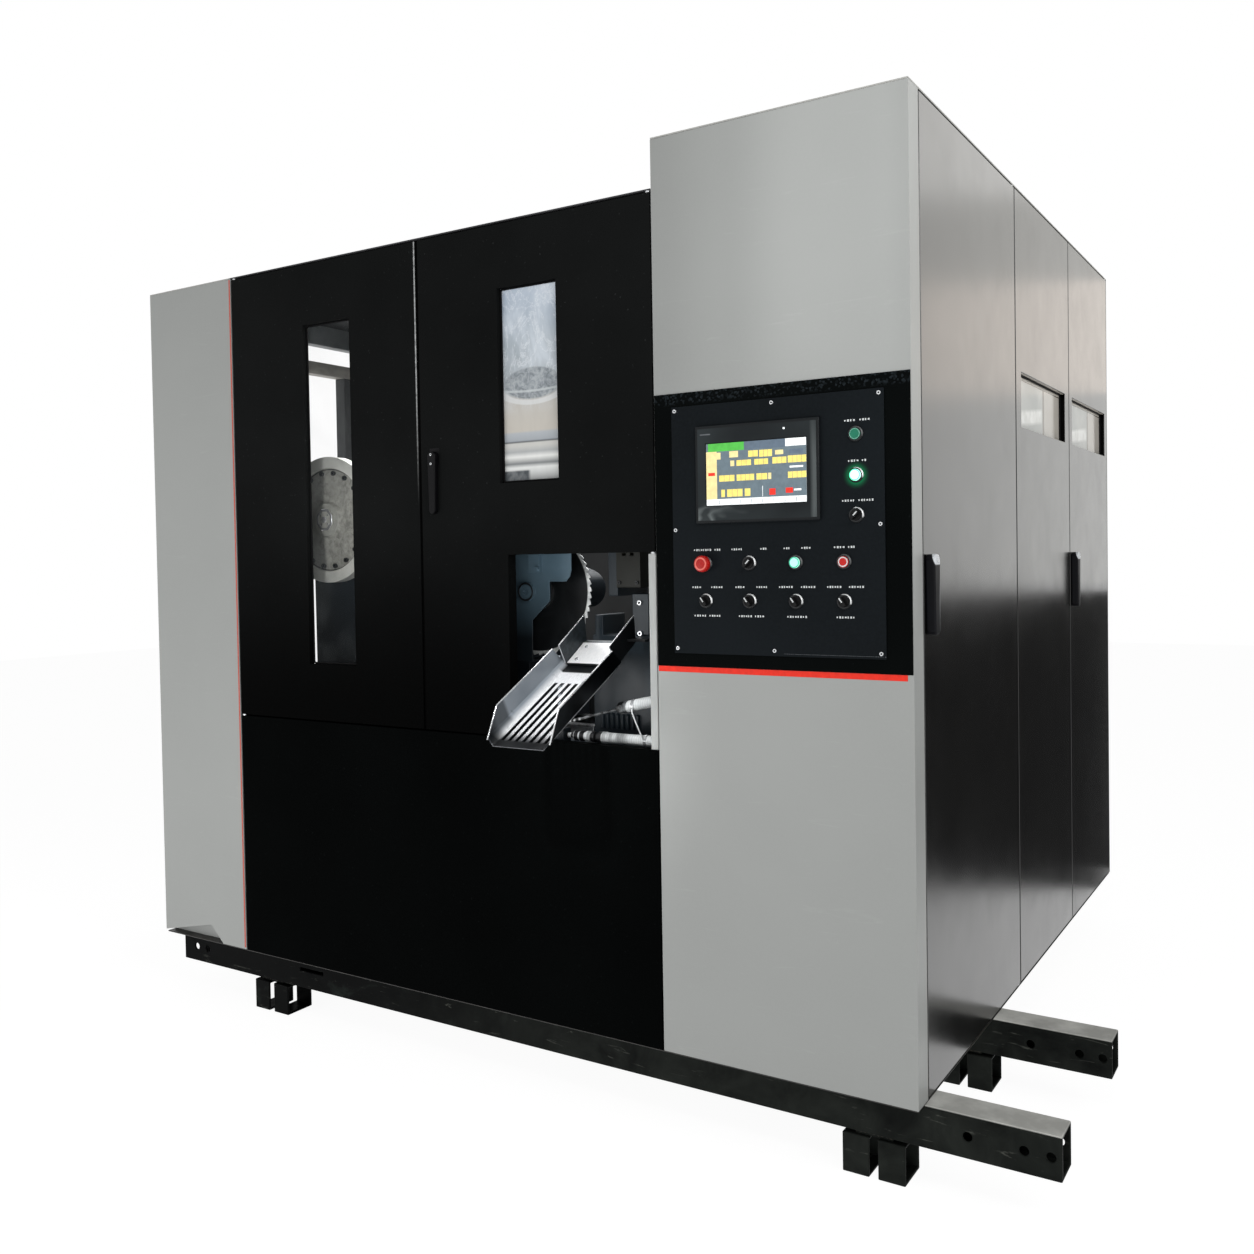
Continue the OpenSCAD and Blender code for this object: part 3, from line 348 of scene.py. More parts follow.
plastic("estop_red", (172, 24, 20))
plastic("button_green", (20, 110, 84))
plastic("button_lit", (170, 255, 226), 1.6)
plastic("button_pale", (170, 244, 220), 0.5)
plastic("button_red", (186, 26, 20))
plastic("screen", (180, 190, 196), 0.8, 0.15)
plastic("tape_faded", (186, 84, 70))
plastic("tape_red", (226, 42, 22), 0, 0.5)
metal("bright", (212, 214, 216), 0.2, (1, 1, 1), 500, 0.03, metallic=0.7)
metal("oxide", (46, 48, 50), 0.35, (1, 1, 1), 400, 0.05, metallic=0.5)
paint("recess", (10, 10, 11), 0.6, 0.1, 0.05, 0.1)
plastic("print_white", (206, 210, 210), 0, 0.5)
plastic("print_grey", (96, 100, 104), 0, 0.5)
plastic("led_white", (240, 244, 250), 0.8)
paint("rubber", (9, 9, 10), 0.7, 0.15, 0.3, 0.08)
plastic("ring_red", (226, 110, 98))
plastic("ring_green", (60, 190, 150), 0.3)
plastic("ring_pale", (110, 170, 150))
plastic("ring_lit", (40, 230, 150), 1.2)
for key, c in {"px_grey": (92, 106, 114), "px_green": (74, 168, 66), "px_slate": (84, 98, 112),
        "px_white": (226, 230, 230), "px_cream": (218, 202, 144), "px_yellow": (226, 206, 112),
        "px_red": (218, 44, 30)}.items():
    plastic(key, c, 0.5, 0.2)


@material
def ring_chrome(m):
    """Bright-work painted dark as a dark reflection; the selectors' rings carry a painted highlight crescent
    on their upper right.
    """
    # painted highlight on faces turned up and to the right, kept off the buttons' rings
    n = m.node("VectorMath", {0: m.normal, 1: (0.62, -0.1, 0.62)}, operation="DOT_PRODUCT")
    f = m.remap(n.outputs["Value"], 0.3, 0.5)
    for node in ("estop_head", "green_button", "pale_button", "red_button"):
        d = m.radial(middle(node))
        f = m.mul(f, m.remap(d, 0.019, 0.021, 0.12, 1))
    c = m.mix(f, m.tone((20, 21, 22), (34, 36, 38), 200, 2), (236, 238, 238))
    m.done(c, m.uneven(0.25, 0.35, 90, 2), 0.2, 0.3)


@material
def latch_side(m):
    """Black levers of the side doors, with painted highlights over the top corner and down the outer face.
    """
    a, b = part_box("side_latch_a")
    c = m.tone((4, 4, 7), (9, 10, 15), 30, 3)
    # painted highlight over the top corner
    corner = b.x / 0.012 + b.z / 0.03 - 0.62
    painted_light = m.remap(m.dot((1 / 0.012, 0, 1 / 0.03)), corner - 0.1, corner)
    far = [m.band(m.axis(1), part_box("side_latch_" + k)[1].y - 0.006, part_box("side_latch_" + k)[1].y,
        0.0006) for k in "ac"]
    # painted highlight on the lower part of the outer face
    face = m.mul(m.remap(m.axis(0), b.x - 0.0032, b.x - 0.0026), m.math("ADD", *far))
    face = m.mul(face, m.remap(m.axis(2), a.z + 0.06, a.z + 0.11, 0.5, 0))
    c = m.mix(m.most(m.mul(painted_light, 0.8), face), c, (226, 230, 234))
    m.bump(m.noise(60, 2, 0.5), 0.04, 0.0006)
    m.done(c, m.uneven(0.4, 0.5, 9, 4, edge=0.25), 0, 0.12)


@material
def roof_paint(m):
    """Dark sheets; their thin edges carry the colour of the panels below them."""
    top = m.tone((48, 48, 50), (66, 66, 68), 5, 4, 0.6, lo=0.35)
    front = m.mul(m.span(1, 1, 1.5, 1, 0), m.most(m.span(0, -560, -558), m.span(0, -1892, -1890, 1, 0)))
    rim = m.most(front, m.span(0, -1.5, -1))
    m.peel(0.1)
    m.done(m.mix(rim, top, (166, 166, 162)), m.uneven(0.5, 0.62, 9, 4, edge=0.25), 0, 0.2)


@material
def side_paint(m):
    """Gloss black doors with a soft orange peel; a pale line runs along the top edge of each window opening,
    and the reveals are painted near-black as shade.
    """
    c = m.tone((11, 11, 11), (18, 18, 17), 2.3, 3, 0.5, hi=0.72)
    lip = m.mul(m.strip(2, 1500.4, 1501.6, 0.0003), m.strip(0, -11, -4, 0.0004))
    c = m.mix(lip, c, (214, 208, 198))
    # painted shade: the reveals go near-black, with their reflection dimmed
    reveal = m.mul(m.span(0, -1.5, -1, 1, 0), m.math("SUBTRACT", 1, lip))
    c = m.mix(reveal, c, (7, 7, 7))
    m.peel(0.02)
    m.done(c, m.uneven(0.19, 0.26, 7, 4, 0.6, edge=0.25), reveal, 0.5, 1.85)


@material
def guard_paint(m):
    """Blue-grey guard, with painted shade darkening it towards its lower edge."""
    c = m.tone((92, 118, 134), (120, 148, 164), 5, 4, 0.6)
    # painted shade towards the lower edge
    c = m.mix(m.span(2, 870, 1040, 1, 0.15), c, (22, 28, 32))
    m.bump(m.noise(300, 2, 0.5), 0.1, 0.0004)
    m.done(c, m.uneven(0.32, 0.46, 9, 4, edge=0.25), 0, 0.3)


@material
def weld(m):
    c = m.tone((24, 24, 22), (70, 64, 54), 120, 4, 0.6, lo=0.35, hi=0.65)
    m.bump(m.noise(600, 3), 0.4, 0.0006)
    m.done(c, m.uneven(0.35, 0.6, 60, 3), 0.4)


@material
def film(m):
    """Glossy film of the operator panel, with smears painted as pale highlights low on the left and down the
    right edge.
    """
    left = m.mul(m.span(0, -454, -330, 1, 0), m.span(2, 1128, 1175, 1, 0))
    edge = m.mul(m.span(0, -200, -192), m.ramp(m.noise(7, 2, 0.4, stretch=(3, 1, 0.5)), (0.4, 0.2),
        (0.6, 1)))
    smear = m.ramp(m.noise(15, 2, 0.4, stretch=(0.6, 1, 1.3), warp=1), (0.44, 0), (0.54, 1), (0.62, 0.1))
    # painted highlights: the sheen of the smears
    f = m.math("ADD", m.mul(left, smear), m.mul(edge, 0.36), True)
    tone = m.tone((28, 32, 34), (48, 54, 56), 5, 2, 0.5, lo=0.35)
    c = m.mix(m.mul(f, 0.7), tone, (150, 158, 158))
    m.bump(m.noise(12, 2), 0.03, 0.001)
    m.done(c, m.remap(f, 0, 1, 0.12, 0.4), 0, 0.08)


@material
def plate_black(m):
    """Matt black plate, with a green glow painted around the lit button."""
    base = m.tone((18, 21, 23), (24, 28, 31), 2.3, 3, 0.5, hi=0.72)
    c = m.mix(m.tone(0, 0.4, 160, 2, 0.6, lo=0.35), base, (27, 31, 34))
    d = m.radial(middle("lit_button"))
    # painted light: the lit button's glow on the plate
    glow = m.math("POWER", m.remap(d, 0.011, 0.03, 1, 0), 2.5)
    m.peel(0.08)
    m.done(c, m.uneven(0.4, 0.52, 9, 4, edge=0.25), 0, 0.02,
        emit=m.mix(glow, (0, 0, 0, 1), (20, 196, 120)), strength=0.55)


@material
def blade_steel(m):
    """Oiled saw body painted dark as shade, with a ground rim and teeth painted bright as a lit edge."""
    d = m.radial(middle("saw_blade"))
    # painted highlight: the bright rim
    rim = m.remap(d, 0.1455, 0.1475)
    # painted shade: the dark face
    face = m.ramp(m.noise(15, 4, 0.6, warp=0.6), (0.3, (15, 17, 19)), (0.72, (34, 37, 39)))
    c = m.mix(rim, face, m.tone((188, 192, 192), (238, 240, 238), 90, 3))
    m.bump(m.noise(500, 3, 0.6), 0.08, 0.0003)
    m.done(c, m.remap(rim, 0, 1, 0.42, 0.28), 0.35, 0.3)


@material
def cast_wheel(m):
    """Drive wheel: machined rim, rough grey web, and painted shade as a dark ring in the step between them.
    """
    d = m.radial(middle("flywheel"))
    web = m.ramp(m.noise(60, 5, 0.7, warp=0.5), (0.32, (124, 124, 118)), (0.68, (190, 190, 182)))
    web = m.mix(m.ramp(m.noise(5, 3, 0.5, stretch=(2.4, 1, 0.5)), (0.42, 0), (0.6, 0.6)), web,
        (164, 164, 158))
    rim = m.tone((214, 215, 208), (236, 237, 230), 22, 3, 0.5)
    c = m.mix(m.remap(d, 0.1395, 0.1405), web, rim)
    # painted shade in the step between rim and web
    c = m.mix(m.band(d, 0.137, 0.1385, 0.001), c, (58, 58, 55))
    c = m.mix(m.remap(d, 0.045, 0.046, 0.55, 0), c, (176, 177, 170))
    m.bump(m.noise(170, 4, 0.65), 0.22, 0.0008)
    m.done(c, m.uneven(0.42, 0.6, 14, 3), 0.15, 0.3)


# the chutes: the low end's corner in millimetres from the datum (y and z only for the upper), and the slope
LOW_AT, SLOPE = (-862.5, -205, 664), radians(27)
UP_AT, TILT = (77, 817.6), radians(31)
CHUTE_W, SLOTS_N, SLOT_EDGE = 165, 7, 26.5


def sheet_steel(m, low, high, stretch=(14, 1, 1)):
    brush = m.noise(90, 3, 0.6, stretch=stretch)
    m.bump(brush, 0.1, 0.0003)
    stain = m.ramp(m.noise(38, 5, 0.7, warp=0.6), (0.6, 0), (0.75, 0.3))
    return m.mix(stain, m.ramp(brush, (0.3, low), (0.7, high)), (96, 98, 100))


@material
def chute_low(m):
    """Brushed sheet with bright bars; painted shade darkens the slot edges, the floor under the plate's
    edge, the walls and their low end, the tip and the outside.
    """
    x = m.axis(0)
    along = m.dot((0, cos(SLOPE), sin(SLOPE)))
    s0 = pos(1, LOW_AT[1]) * cos(SLOPE) + pos(2, LOW_AT[2]) * sin(SLOPE)
    c = sheet_steel(m, (196, 198, 202), (244, 245, 246))
    pitch = (CHUTE_W - 2 * SLOT_EDGE) / (SLOTS_N - 1) / 1000
    u = m.math("FRACT", m.math("DIVIDE", m.math("SUBTRACT", x, pos(0, LOW_AT[0] + SLOT_EDGE) - pitch / 2),
        pitch))
    off = m.mul(m.math("ABSOLUTE", m.math("SUBTRACT", u, 0.5)), pitch)
    # painted shade: dark bands along the slot edges
    slot_shade = m.mul(m.remap(off, 0.0047, 0.0052, 1, 0), m.mul(m.band(along, s0 + 0.022, s0 + 0.248, 0.001),
        m.strip(0, -842, -717, 0.001)))
    c = m.mix(slot_shade, c, (22, 24, 27))
    wall = m.most(m.span(0, -857, -847, 1, 0), m.span(0, -713, -703))
    # painted shadow on the floor under the plate's front edge
    c = m.mix(m.mul(m.remap(along, s0 + 0.291, s0 + 0.295), m.math("SUBTRACT", 1, wall)), c, (20, 22, 24))
    # painted shade: the walls take a duller tone than the floor
    c = m.mix(wall, c, m.tone((118, 126, 134), (150, 157, 164), 6, 3, 0.5))
    # painted shade at the walls' low end
    c = m.mix(m.mul(wall, m.remap(along, s0 + 0.088, s0 + 0.098, 0.75, 0)), c, (28, 33, 38))
    # painted shade on the tip and on the outside of the right wall, with their reflection dimmed
    tip, outer = m.remap(along, s0 + 0.02, s0 + 0.055, 0.94, 0), m.span(0, -698.6, -698.1)
    c = m.mix(tip, c, (20, 23, 26))
    c = m.mix(outer, c, m.tone((16, 18, 20), (38, 42, 46), 12, 3, lo=0.35))
    dark = m.most(m.most(tip, outer), 0.1)
    m.done(c, m.uneven(0.26, 0.42, 14, 4), dark, 0.4)


@material
def chute_up(m):
    c = sheet_steel(m, (34, 39, 42), (58, 66, 71), (4, 1, 1))
    c = m.mix(m.span(0, -711.6, -711.1), c, (20, 22, 24))
    m.done(c, m.uneven(0.3, 0.45, 14, 4), 0.35, 0.4)


@material
def chute_plate(m):
    along = m.dot((0, cos(TILT), sin(TILT)))
    a = pos(1, UP_AT[0]) * cos(TILT) + pos(2, UP_AT[1]) * sin(TILT)
    c = sheet_steel(m, (224, 226, 228), (252, 252, 252))
    # painted shade along the plate's front edge, marking the step
    c = m.mix(m.remap(along, a - 0.0026, a - 0.0016, 1, 0), c, (18, 20, 22))
    m.done(c, m.uneven(0.3, 0.42, 14, 4), 0.2, 0.5)


@material
def conduit(m):
    """White corrugated hose; the glands are ringed in black."""
    c = m.tone((206, 210, 211), (236, 239, 239), 24, 4, 0.6, lo=0.35)
    rib = m.node("TexWave", {"Vector": m.tc, "Scale": 52}, bands_direction="X").outputs["Fac"]
    c = m.mix(m.mul(rib, 0.25), c, (130, 136, 138))
    dark = (16, 17, 19)
    for a, b in ((-866, -848), (-838.5, -833), (-826, -818.5), (-811, -802.5), (-784, -752)):
        zone = m.mul(m.strip(0, a, b, 0.0008), m.span(2, 690, 694, 1, 0))
        c = m.mix(zone, c, dark)
    c = m.mix(m.mul(m.span(0, -684, -683, 1, 0), m.span(2, 690, 694)), c,
        m.tone((22, 24, 26), (120, 124, 126), 60, 3, lo=0.4, hi=0.62))
    m.bump(rib, 0.35, 0.0012)
    m.done(c, m.uneven(0.35, 0.5, 30, 3), 0, 0.4)


@material
def frame_paint(m):
    """Dark frame; the hinge strip beside the opening is bare pale grey."""
    dark = m.tone((34, 36, 38), (62, 64, 64), 9, 4, 0.6, lo=0.35)
    pale = m.ramp(m.noise(7, 4, 0.6, stretch=(1, 1, 0.4)), (0.35, (150, 153, 152)),
        (0.7, (188, 190, 188)))
    f = m.mul(m.span(1, 20, 24, 1, 0), m.span(0, -640, -630))
    m.bump(m.noise(300, 2), 0.1, 0.0004)
    m.done(m.mix(f, dark, pale), m.uneven(0.4, 0.55, 11, 3), 0, 0.3)


@material
def beam_paint(m):
    """Dark roof beams; the side beam below them is a dusty brownish grey."""
    top = m.tone((128, 132, 133), (168, 172, 172), 6, 4, 0.6, lo=0.35)
    side = m.ramp(m.noise(9, 4, 0.6, stretch=(1, 1, 2)), (0.35, (160, 156, 148)), (0.7, (200, 196, 188)))
    c = m.mix(m.span(2, 1742, 1746, 1, 0), top, side)
    m.bump(m.noise(300, 2), 0.1, 0.0004)
    m.done(c, m.uneven(0.42, 0.58, 11, 3), 0, 0.3)


@material
def rear_paint(m):
    """Grey outside, dark inside."""
    out = m.tone(scaled(GREY, 0.96), scaled(GREY, 1.04), 2.3, 3, 0.5, hi=0.72)
    ins = m.tone((12, 14, 15), (26, 29, 31), 3, 4, 0.6, lo=0.35)
    m.peel(0.1)
    m.done(m.mix(m.span(1, 1955.4, 1955.8), ins, out), m.uneven(0.36, 0.48, 9, 4, edge=0.25), 0, 0.3)


@material
def bed_paint(m):
    """Blue-grey casting and tray, with a dark brownish rim at the skid."""
    c = m.tone((24, 29, 34), (50, 58, 64), 7, 5, 0.65, lo=0.32)
    c = m.mix(m.span(2, 20, 26, 1, 0), c, m.tone((14, 14, 13), (34, 31, 26), 9, 3, lo=0.35))
    m.bump(m.noise(200, 3), 0.2, 0.0006)
    m.done(c, m.uneven(0.32, 0.5, 16, 3), 0, 0.3)


@material
def skid_paint(m):
    """Worn black enamel on square tube: dull patches, rubbed streaks, painted shade over the left part, and
    top faces made pale by dust and painted light.
    """
    c = m.ramp(m.noise(6, 5, 0.65, warp=0.5), (0.36, (2, 3, 3)), (0.58, (7, 8, 8)), (0.74, (36, 42, 39)))
    painted_light = m.ramp(m.noise(11, 4, 0.6, warp=0.5), (0.3, (16, 18, 17)), (0.7, (40, 43, 40)))
    # painted light: the colour lightens towards the right, leaving the left in painted shade
    c = m.mix(m.span(0, -1500, -700, 0, 0.85), c, painted_light)
    rub = m.ramp(m.noise(9, 5, 0.72, stretch=(1, 1, 7), warp=1.2), (0.62, 0), (0.7, 0.5))
    c = m.mix(rub, c, (96, 98, 92))
    # top faces: dust, and painted light from above
    top = m.mul(m.span(2, -6.5, -4.6), m.tone(0.6, 1, 8, 4, 0.6, lo=0.35, hi=0.65))
    c = m.mix(top, c, (232, 232, 226))
    m.bump(m.noise(240, 4, 0.6), 0.18, 0.0006)
    m.done(c, m.uneven(0.32, 0.55, 12, 4), 0, 0.03)


def window(name, clear, smear):
    """A clear pane with a thin haze that is thicker in wiped smears."""
    m = Mat(name)
    haze = m.ramp(m.noise(5, 4, 0.55, warp=0.8), (0.4, clear), (0.75, smear))
    m.bump(m.noise(2.5, 1), 0.03, 0.002)
    m.done((150, 156, 158), m.uneven(0.04, 0.14, 20, 3), 0, 0.25, alpha=haze)


@material
def glass_right(m):
    """The right pane's thick milky film with bluish streaks above and a wiped patch; its pale reflections
    are painted, and the beige band, rails and dark marks below are a painted view of what lies behind the
    glass.
    """
    x, z = m.axis(0), m.axis(2)
    cloud = m.noise(9, 4, 0.6, stretch=(1, 1, 0.45), warp=1)
    c = m.ramp(m.span(2, 1237, 1685), (0, (150, 152, 152)), (0.035, (196, 198, 197)),
        (0.075, (236, 238, 236)), (0.095, (128, 132, 134)), (0.13, (240, 241, 238)),
        (0.155, (178, 181, 182)), (0.185, (206, 206, 202)), (0.20, (206, 206, 202)),
        (0.205, (66, 70, 74)), (0.213, (168, 174, 180)), (0.25, (182, 187, 192)),
        (0.262, (200, 195, 186)), (0.42, (198, 195, 189)), (0.47, (168, 174, 178)),
        (0.72, (168, 178, 186)), (0.88, (160, 174, 190)), (1, (196, 208, 222)))
    upper = m.span(2, 1390, 1470)
    streak = m.ramp(cloud, (0.36, 0), (0.5, 0.5), (0.62, 1))
    c = m.mix(m.mul(upper, m.mul(streak, 0.75)), c, (214, 222, 230))
    veins = m.ramp(m.noise(16, 5, 0.7, stretch=(1, 1, 0.6), warp=2.2), (0.47, 0), (0.5, 1), (0.53, 0))
    c = m.mix(m.mul(upper, m.mul(veins, 0.55)), c, (236, 240, 244))
    # wiped patch with a bright lower edge
    cx, cz = pos(0, -889), pos(2, 1462)
    ex = m.math("DIVIDE", m.math("SUBTRACT", x, cx), 0.082)
    ez = m.math("DIVIDE", m.math("SUBTRACT", z, cz), 0.037)
    r = m.math("SQRT", m.math("ADD", m.mul(ex, ex), m.mul(ez, ez)))
    spot = m.ramp(m.noise(60, 4, 0.7, warp=1), (0.38, (118, 126, 132)), (0.62, (176, 182, 186)))
    c = m.mix(m.remap(r, 0.92, 1.02, 0.9, 0), c, spot)
    line = m.band(m.math("ADD", ez, m.mul(m.mul(ex, ex), -0.12)), -0.52, -0.44, 0.05)
    c = m.mix(m.mul(line, 0.7), c, (206, 212, 214))
    rim = m.mul(m.band(r, 1.08, 1.3, 0.06), m.remap(z, cz - 0.008, cz - 0.014))
    c = m.mix(m.mul(rim, 0.8), c, (222, 224, 224))
    low = m.mul(m.span(2, 1262, 1266, 1, 0), m.span(0, -905, -897, 1, 0))
    c = m.mix(low, c, m.tone((74, 80, 84), (132, 136, 138), 30, 3, lo=0.4, hi=0.65))
    m.bump(m.noise(2.5, 1), 0.03, 0.002)
    m.done(c, m.uneven(0.1, 0.22, 20, 3), 0, 0.25, alpha=m.remap(cloud, 0.3, 0.7, 0.86, 0.96))


def window_side(name, y0, y1):
    """Milky side pane with a painted view through it: pale strip along the top, a bright cloud and a post.
    """
    m = Mat(name)
    z = m.axis(2)
    u = m.span(1, y0, y1)
    c = m.ramp(m.noise(6, 3, 0.5, warp=0.6), (0.35, (178, 181, 177)), (0.7, (204, 205, 200)))
    c = m.mix(m.remap(u, 0.62, 0.64), c, (206, 201, 192))
    c = m.mix(m.band(u, 0.60, 0.625, 0.012), c, (146, 141, 132))
    mid = m.math("ADD", m.mul(u, 0.055), pos(2, 1387))
    d = m.math("ABSOLUTE", m.math("SUBTRACT", z, mid))
    cloud = m.mul(m.remap(d, 0.012, 0.022, 1, 0), m.remap(u, 0.56, 0.6, 1, 0))
    c = m.mix(cloud, c, m.tone((226, 227, 222), (246, 247, 243), 26, 3, lo=0.4, hi=0.6))
    c = m.mix(m.span(2, 1488, 1489), c, (110, 106, 98))
    c = m.mix(m.span(2, 1491, 1492), c, (218, 212, 202))
    m.bump(m.noise(2.5, 1), 0.02, 0.002)
    m.done(c, m.uneven(0.08, 0.18, 20, 3), 0, 0.2, alpha=m.uneven(0.86, 0.95, 4, 3))


window("glass", 0.01, 0.05)
window_side("glass_b", 829.5, 1325.5)
window_side("glass_c", 1418.5, 1914.5)


def grouped(table):
    return {name: key for key, names in table.items() for name in names.split()}


# finish: the nodes that carry it
SLOTS = grouped({"skid_paint": "skid_rails foot_stubs foot_plates", "bed_paint": "machine_bed",
    "frame_paint": "frame_posts", "beam_paint": "frame_beams",
    "grey_paint": "front_left_panel left_side_panel", "apron_paint": "lower_apron",
    "roof_paint": "roof_panels", "rear_paint": "rear_panels", "cabinet_paint": "cabinet_front",
    "band_black": "control_band", "grey_inner": "partition_wall",
    "black_paint": "front_left_door front_right_door",
    "side_paint": "side_door_a side_panel_b side_door_c", "glass": "front_left_pane",
    "glass_right": "front_right_pane", "glass_b": "side_pane_b", "glass_c": "side_pane_c",
    "latch_black": "front_latch", "latch_side": "side_latch_a side_latch_c",
    "steel": "door_pivots guide_rails spindle clamp_ram bar_roller", "plate_black": "control_plate",
    "hmi_plastic": "hmi_housing", "screen": "hmi_screen", "ring_chrome": "operator_rings",
    "estop_red": "estop_head", "button_green": "green_button", "button_lit": "lit_button",
    "button_pale": "pale_button", "button_red": "red_button",
    "knob_black": "selector_a selector_b selector_c selector_d selector_e selector_f",
    "machine_paint": "saw_head drive_motor feed_carriage", "guard_paint": "blade_guard",
    "blade_steel": "saw_blade", "cast_wheel": "flywheel", "vise_paint": "vise_body moving_jaw feed_jaw",
    "clamp_paint": "clamp_cylinder", "chute_up": "upper_chute", "chute_plate": "chute_plate",
    "chute_low": "lower_chute", "conduit": "conduits"})

for name, key in SLOTS.items():
    o = nodes[name]
    o.data.materials.clear()
    o.data.materials.append(M[key])

# ---- shapes


SHARP = 35  # degrees at which an edge shades as sharp
FRONT = (0, -1, 0)


def show(name, data):
    o = bpy.data.objects.new(name, data)
    bpy.context.scene.collection.objects.link(o)
    return o


def basis(axis):
    """Two directions square to an axis."""
    w = Vector(axis).normalized()
    u = (Vector((0, 0, 1)) if abs(w.z) < 0.9 else Vector((1, 0, 0))).cross(w).normalized()
    return u, w.cross(u), w


class Shape:
    """Collects faces in millimetres from the datum, each with the number of its material."""

    def __init__(self, frame_of=None):
        self.v, self.f, self.k, self.to = [], [], [], frame_of or (lambda p: p)

    def add(self, verts, faces, k=0):
        n = len(self.v)
        self.v += [at(*self.to(Vector(p))) for p in verts]
        self.f += [[i + n for i in f] for f in faces]
        self.k += [k] * len(faces)
        return self

    def box(self, a, b, k=0):
        v = [(x, y, z) for x in (a[0], b[0]) for y in (a[1], b[1]) for z in (a[2], b[2])]
        return self.add(v, [(0, 1, 3, 2), (4, 6, 7, 5), (0, 4, 5, 1), (2, 3, 7, 6), (0, 2, 6, 4),
            (1, 5, 7, 3)], k)

    def revolve(self, c, axis, profile, seg=24, k=0, phase=0):
        """Profile points (radius, height along the axis); it starts and ends on the axis."""
        u, v, w = basis(axis)
        c = Vector(c)
        pts, rings = [], []
        for r, h in profile:
            if r <= 0:
                rings.append([len(pts)])
                pts.append(c + w * h)
            else:
                rings.append(list(range(len(pts), len(pts) + seg)))
                turns = [phase + 2 * pi * i / seg for i in range(seg)]
                pts += [c + w * h + (u * cos(t) + v * sin(t)) * r for t in turns]
        faces = []
        for a, b in zip(rings, rings[1:]):
            for i in range(seg):
                j = (i + 1) % seg
                if len(a) == 1:
                    faces.append((a[0], b[i], b[j]))
                elif len(b) == 1:
                    faces.append((a[i], b[0], a[j]))
                else:
                    faces.append((a[i], b[i], b[j], a[j]))
        return self.add(pts, faces, k)

    def ring(self, c, axis, profile, seg=24, k=0, phase=0):
        """A closed profile turned about an axis."""
        return self.revolve(c, axis, list(profile) + [profile[0]], seg, k, phase)

    def tube(self, path, r, seg=8, closed=False, k=0, ripple=0):
        """A round bar along a path, whose radius may ripple like a weld bead."""
        p = [Vector(q) for q in path]
        n = len(p)
        pts, up = [], None
        for i in range(n):
            a, b = (p[i - 1], p[(i + 1) % n]) if closed or 0 < i < n - 1 else \
                ((p[0], p[1]) if i == 0 else (p[-2], p[-1]))
            d = (b - a).normalized()
            u = basis(d)[0] if up is None else (up - d * up.dot(d)).normalized()
            up = u
            v = d.cross(u)
            rr = r * (1 + ripple * sin(2.1 * i) + 0.4 * ripple * sin(5.3 * i))
            turns = [2 * pi * j / seg for j in range(seg)]
            pts += [p[i] + (u * cos(t) + v * sin(t)) * rr for t in turns]
        faces = []
        for i in range(n if closed else n - 1):
            for j in range(seg):
                a, b = i * seg, ((i + 1) % n) * seg
                q = (j + 1) % seg
                faces.append((a + j, a + q, b + q, b + j))
        if not closed:
            faces += [tuple(range(seg))[::-1], tuple(range((n - 1) * seg, n * seg))]
        return self.add(pts, faces, k)

    def socket(self, c, axis, r, h, seg=20, k=0, dark=1):
        """Socket-head screw: a rounded head with a hexagon recess."""
        self.revolve(c, axis, [(r, 0), (r, h * 0.8), (r * 0.9, h), (r * 0.55, h), (r * 0.5, h * 0.55),
            (0, h * 0.55)], seg, k)
        along = basis(axis)[2]
        return self.revolve(Vector(c) + along * h * 0.56, axis,
            [(r * 0.5, 0), (r * 0.48, r * 0.05), (0, r * 0.05)], 6, dark)

    def hexbolt(self, c, axis, r, h, k=0):
        self.revolve(c, axis, [(r * 1.5, 0), (r * 1.5, h * 0.2), (r * 1.42, h * 0.28), (0, h * 0.28)], 20,
            k)
        return self.revolve(c, axis, [(r * 1.12, h * 0.28), (r * 1.12, h * 0.88), (r * 0.98, h), (0, h)],
            6, k)

    def build(self, name, body, slot, mats, bevel=0):
        mesh = bpy.data.meshes.new(name)
        mesh.from_pydata(self.v, [], self.f)
        for p, k in zip(mesh.polygons, self.k):
            p.material_index = k
        for key in mats.split():
            mesh.materials.append(M[key])
        finish_piece(show(name, mesh), body, bevel)


def finish_piece(o, body, bevel):
    """Cleans, shades and bevels a piece, and says what it rides on."""
    bm = bmesh.new()
    bm.from_mesh(o.data)
    bmesh.ops.remove_doubles(bm, verts=bm.verts, dist=1e-6)
    bmesh.ops.recalc_face_normals(bm, faces=bm.faces)
    bm.to_mesh(o.data)
    bm.free()
    o.data.shade_smooth()
    o.data.set_sharp_from_angle(angle=radians(SHARP))
    if bevel:
        b = o.modifiers.new("edge", "BEVEL")
        b.width = bevel / 1000
        b.segments = 2
        b.limit_method = "ANGLE"
        b.angle_limit = radians(40)
        b.use_clamp_overlap = False
        w = o.modifiers.new("normals", "WEIGHTED_NORMAL")
        w.keep_sharp = True
        w.weight = 100
    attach(o, body)
    return o


def soften(node, bevel):
    """The same solid with its edges broken, as sheet bends and castings have."""
    src = nodes[node]
    bm = bmesh.new()
    bm.from_mesh(src.data)
    bmesh.ops.remove_doubles(bm, verts=bm.verts, dist=2e-6)
    bmesh.ops.dissolve_limit(bm, angle_limit=radians(1), verts=bm.verts, edges=bm.edges)
    mesh = bpy.data.meshes.new(node + "_edged")
    mesh.from_pydata([v.co.copy() for v in bm.verts], [], [[v.index for v in f.verts] for f in bm.faces])
    bm.free()
    mesh.materials.append(src.data.materials[0])
    o = finish_piece(show(node + "_edged", mesh), src["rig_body"], bevel)
    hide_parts(node)

# ---- softened CAD solids

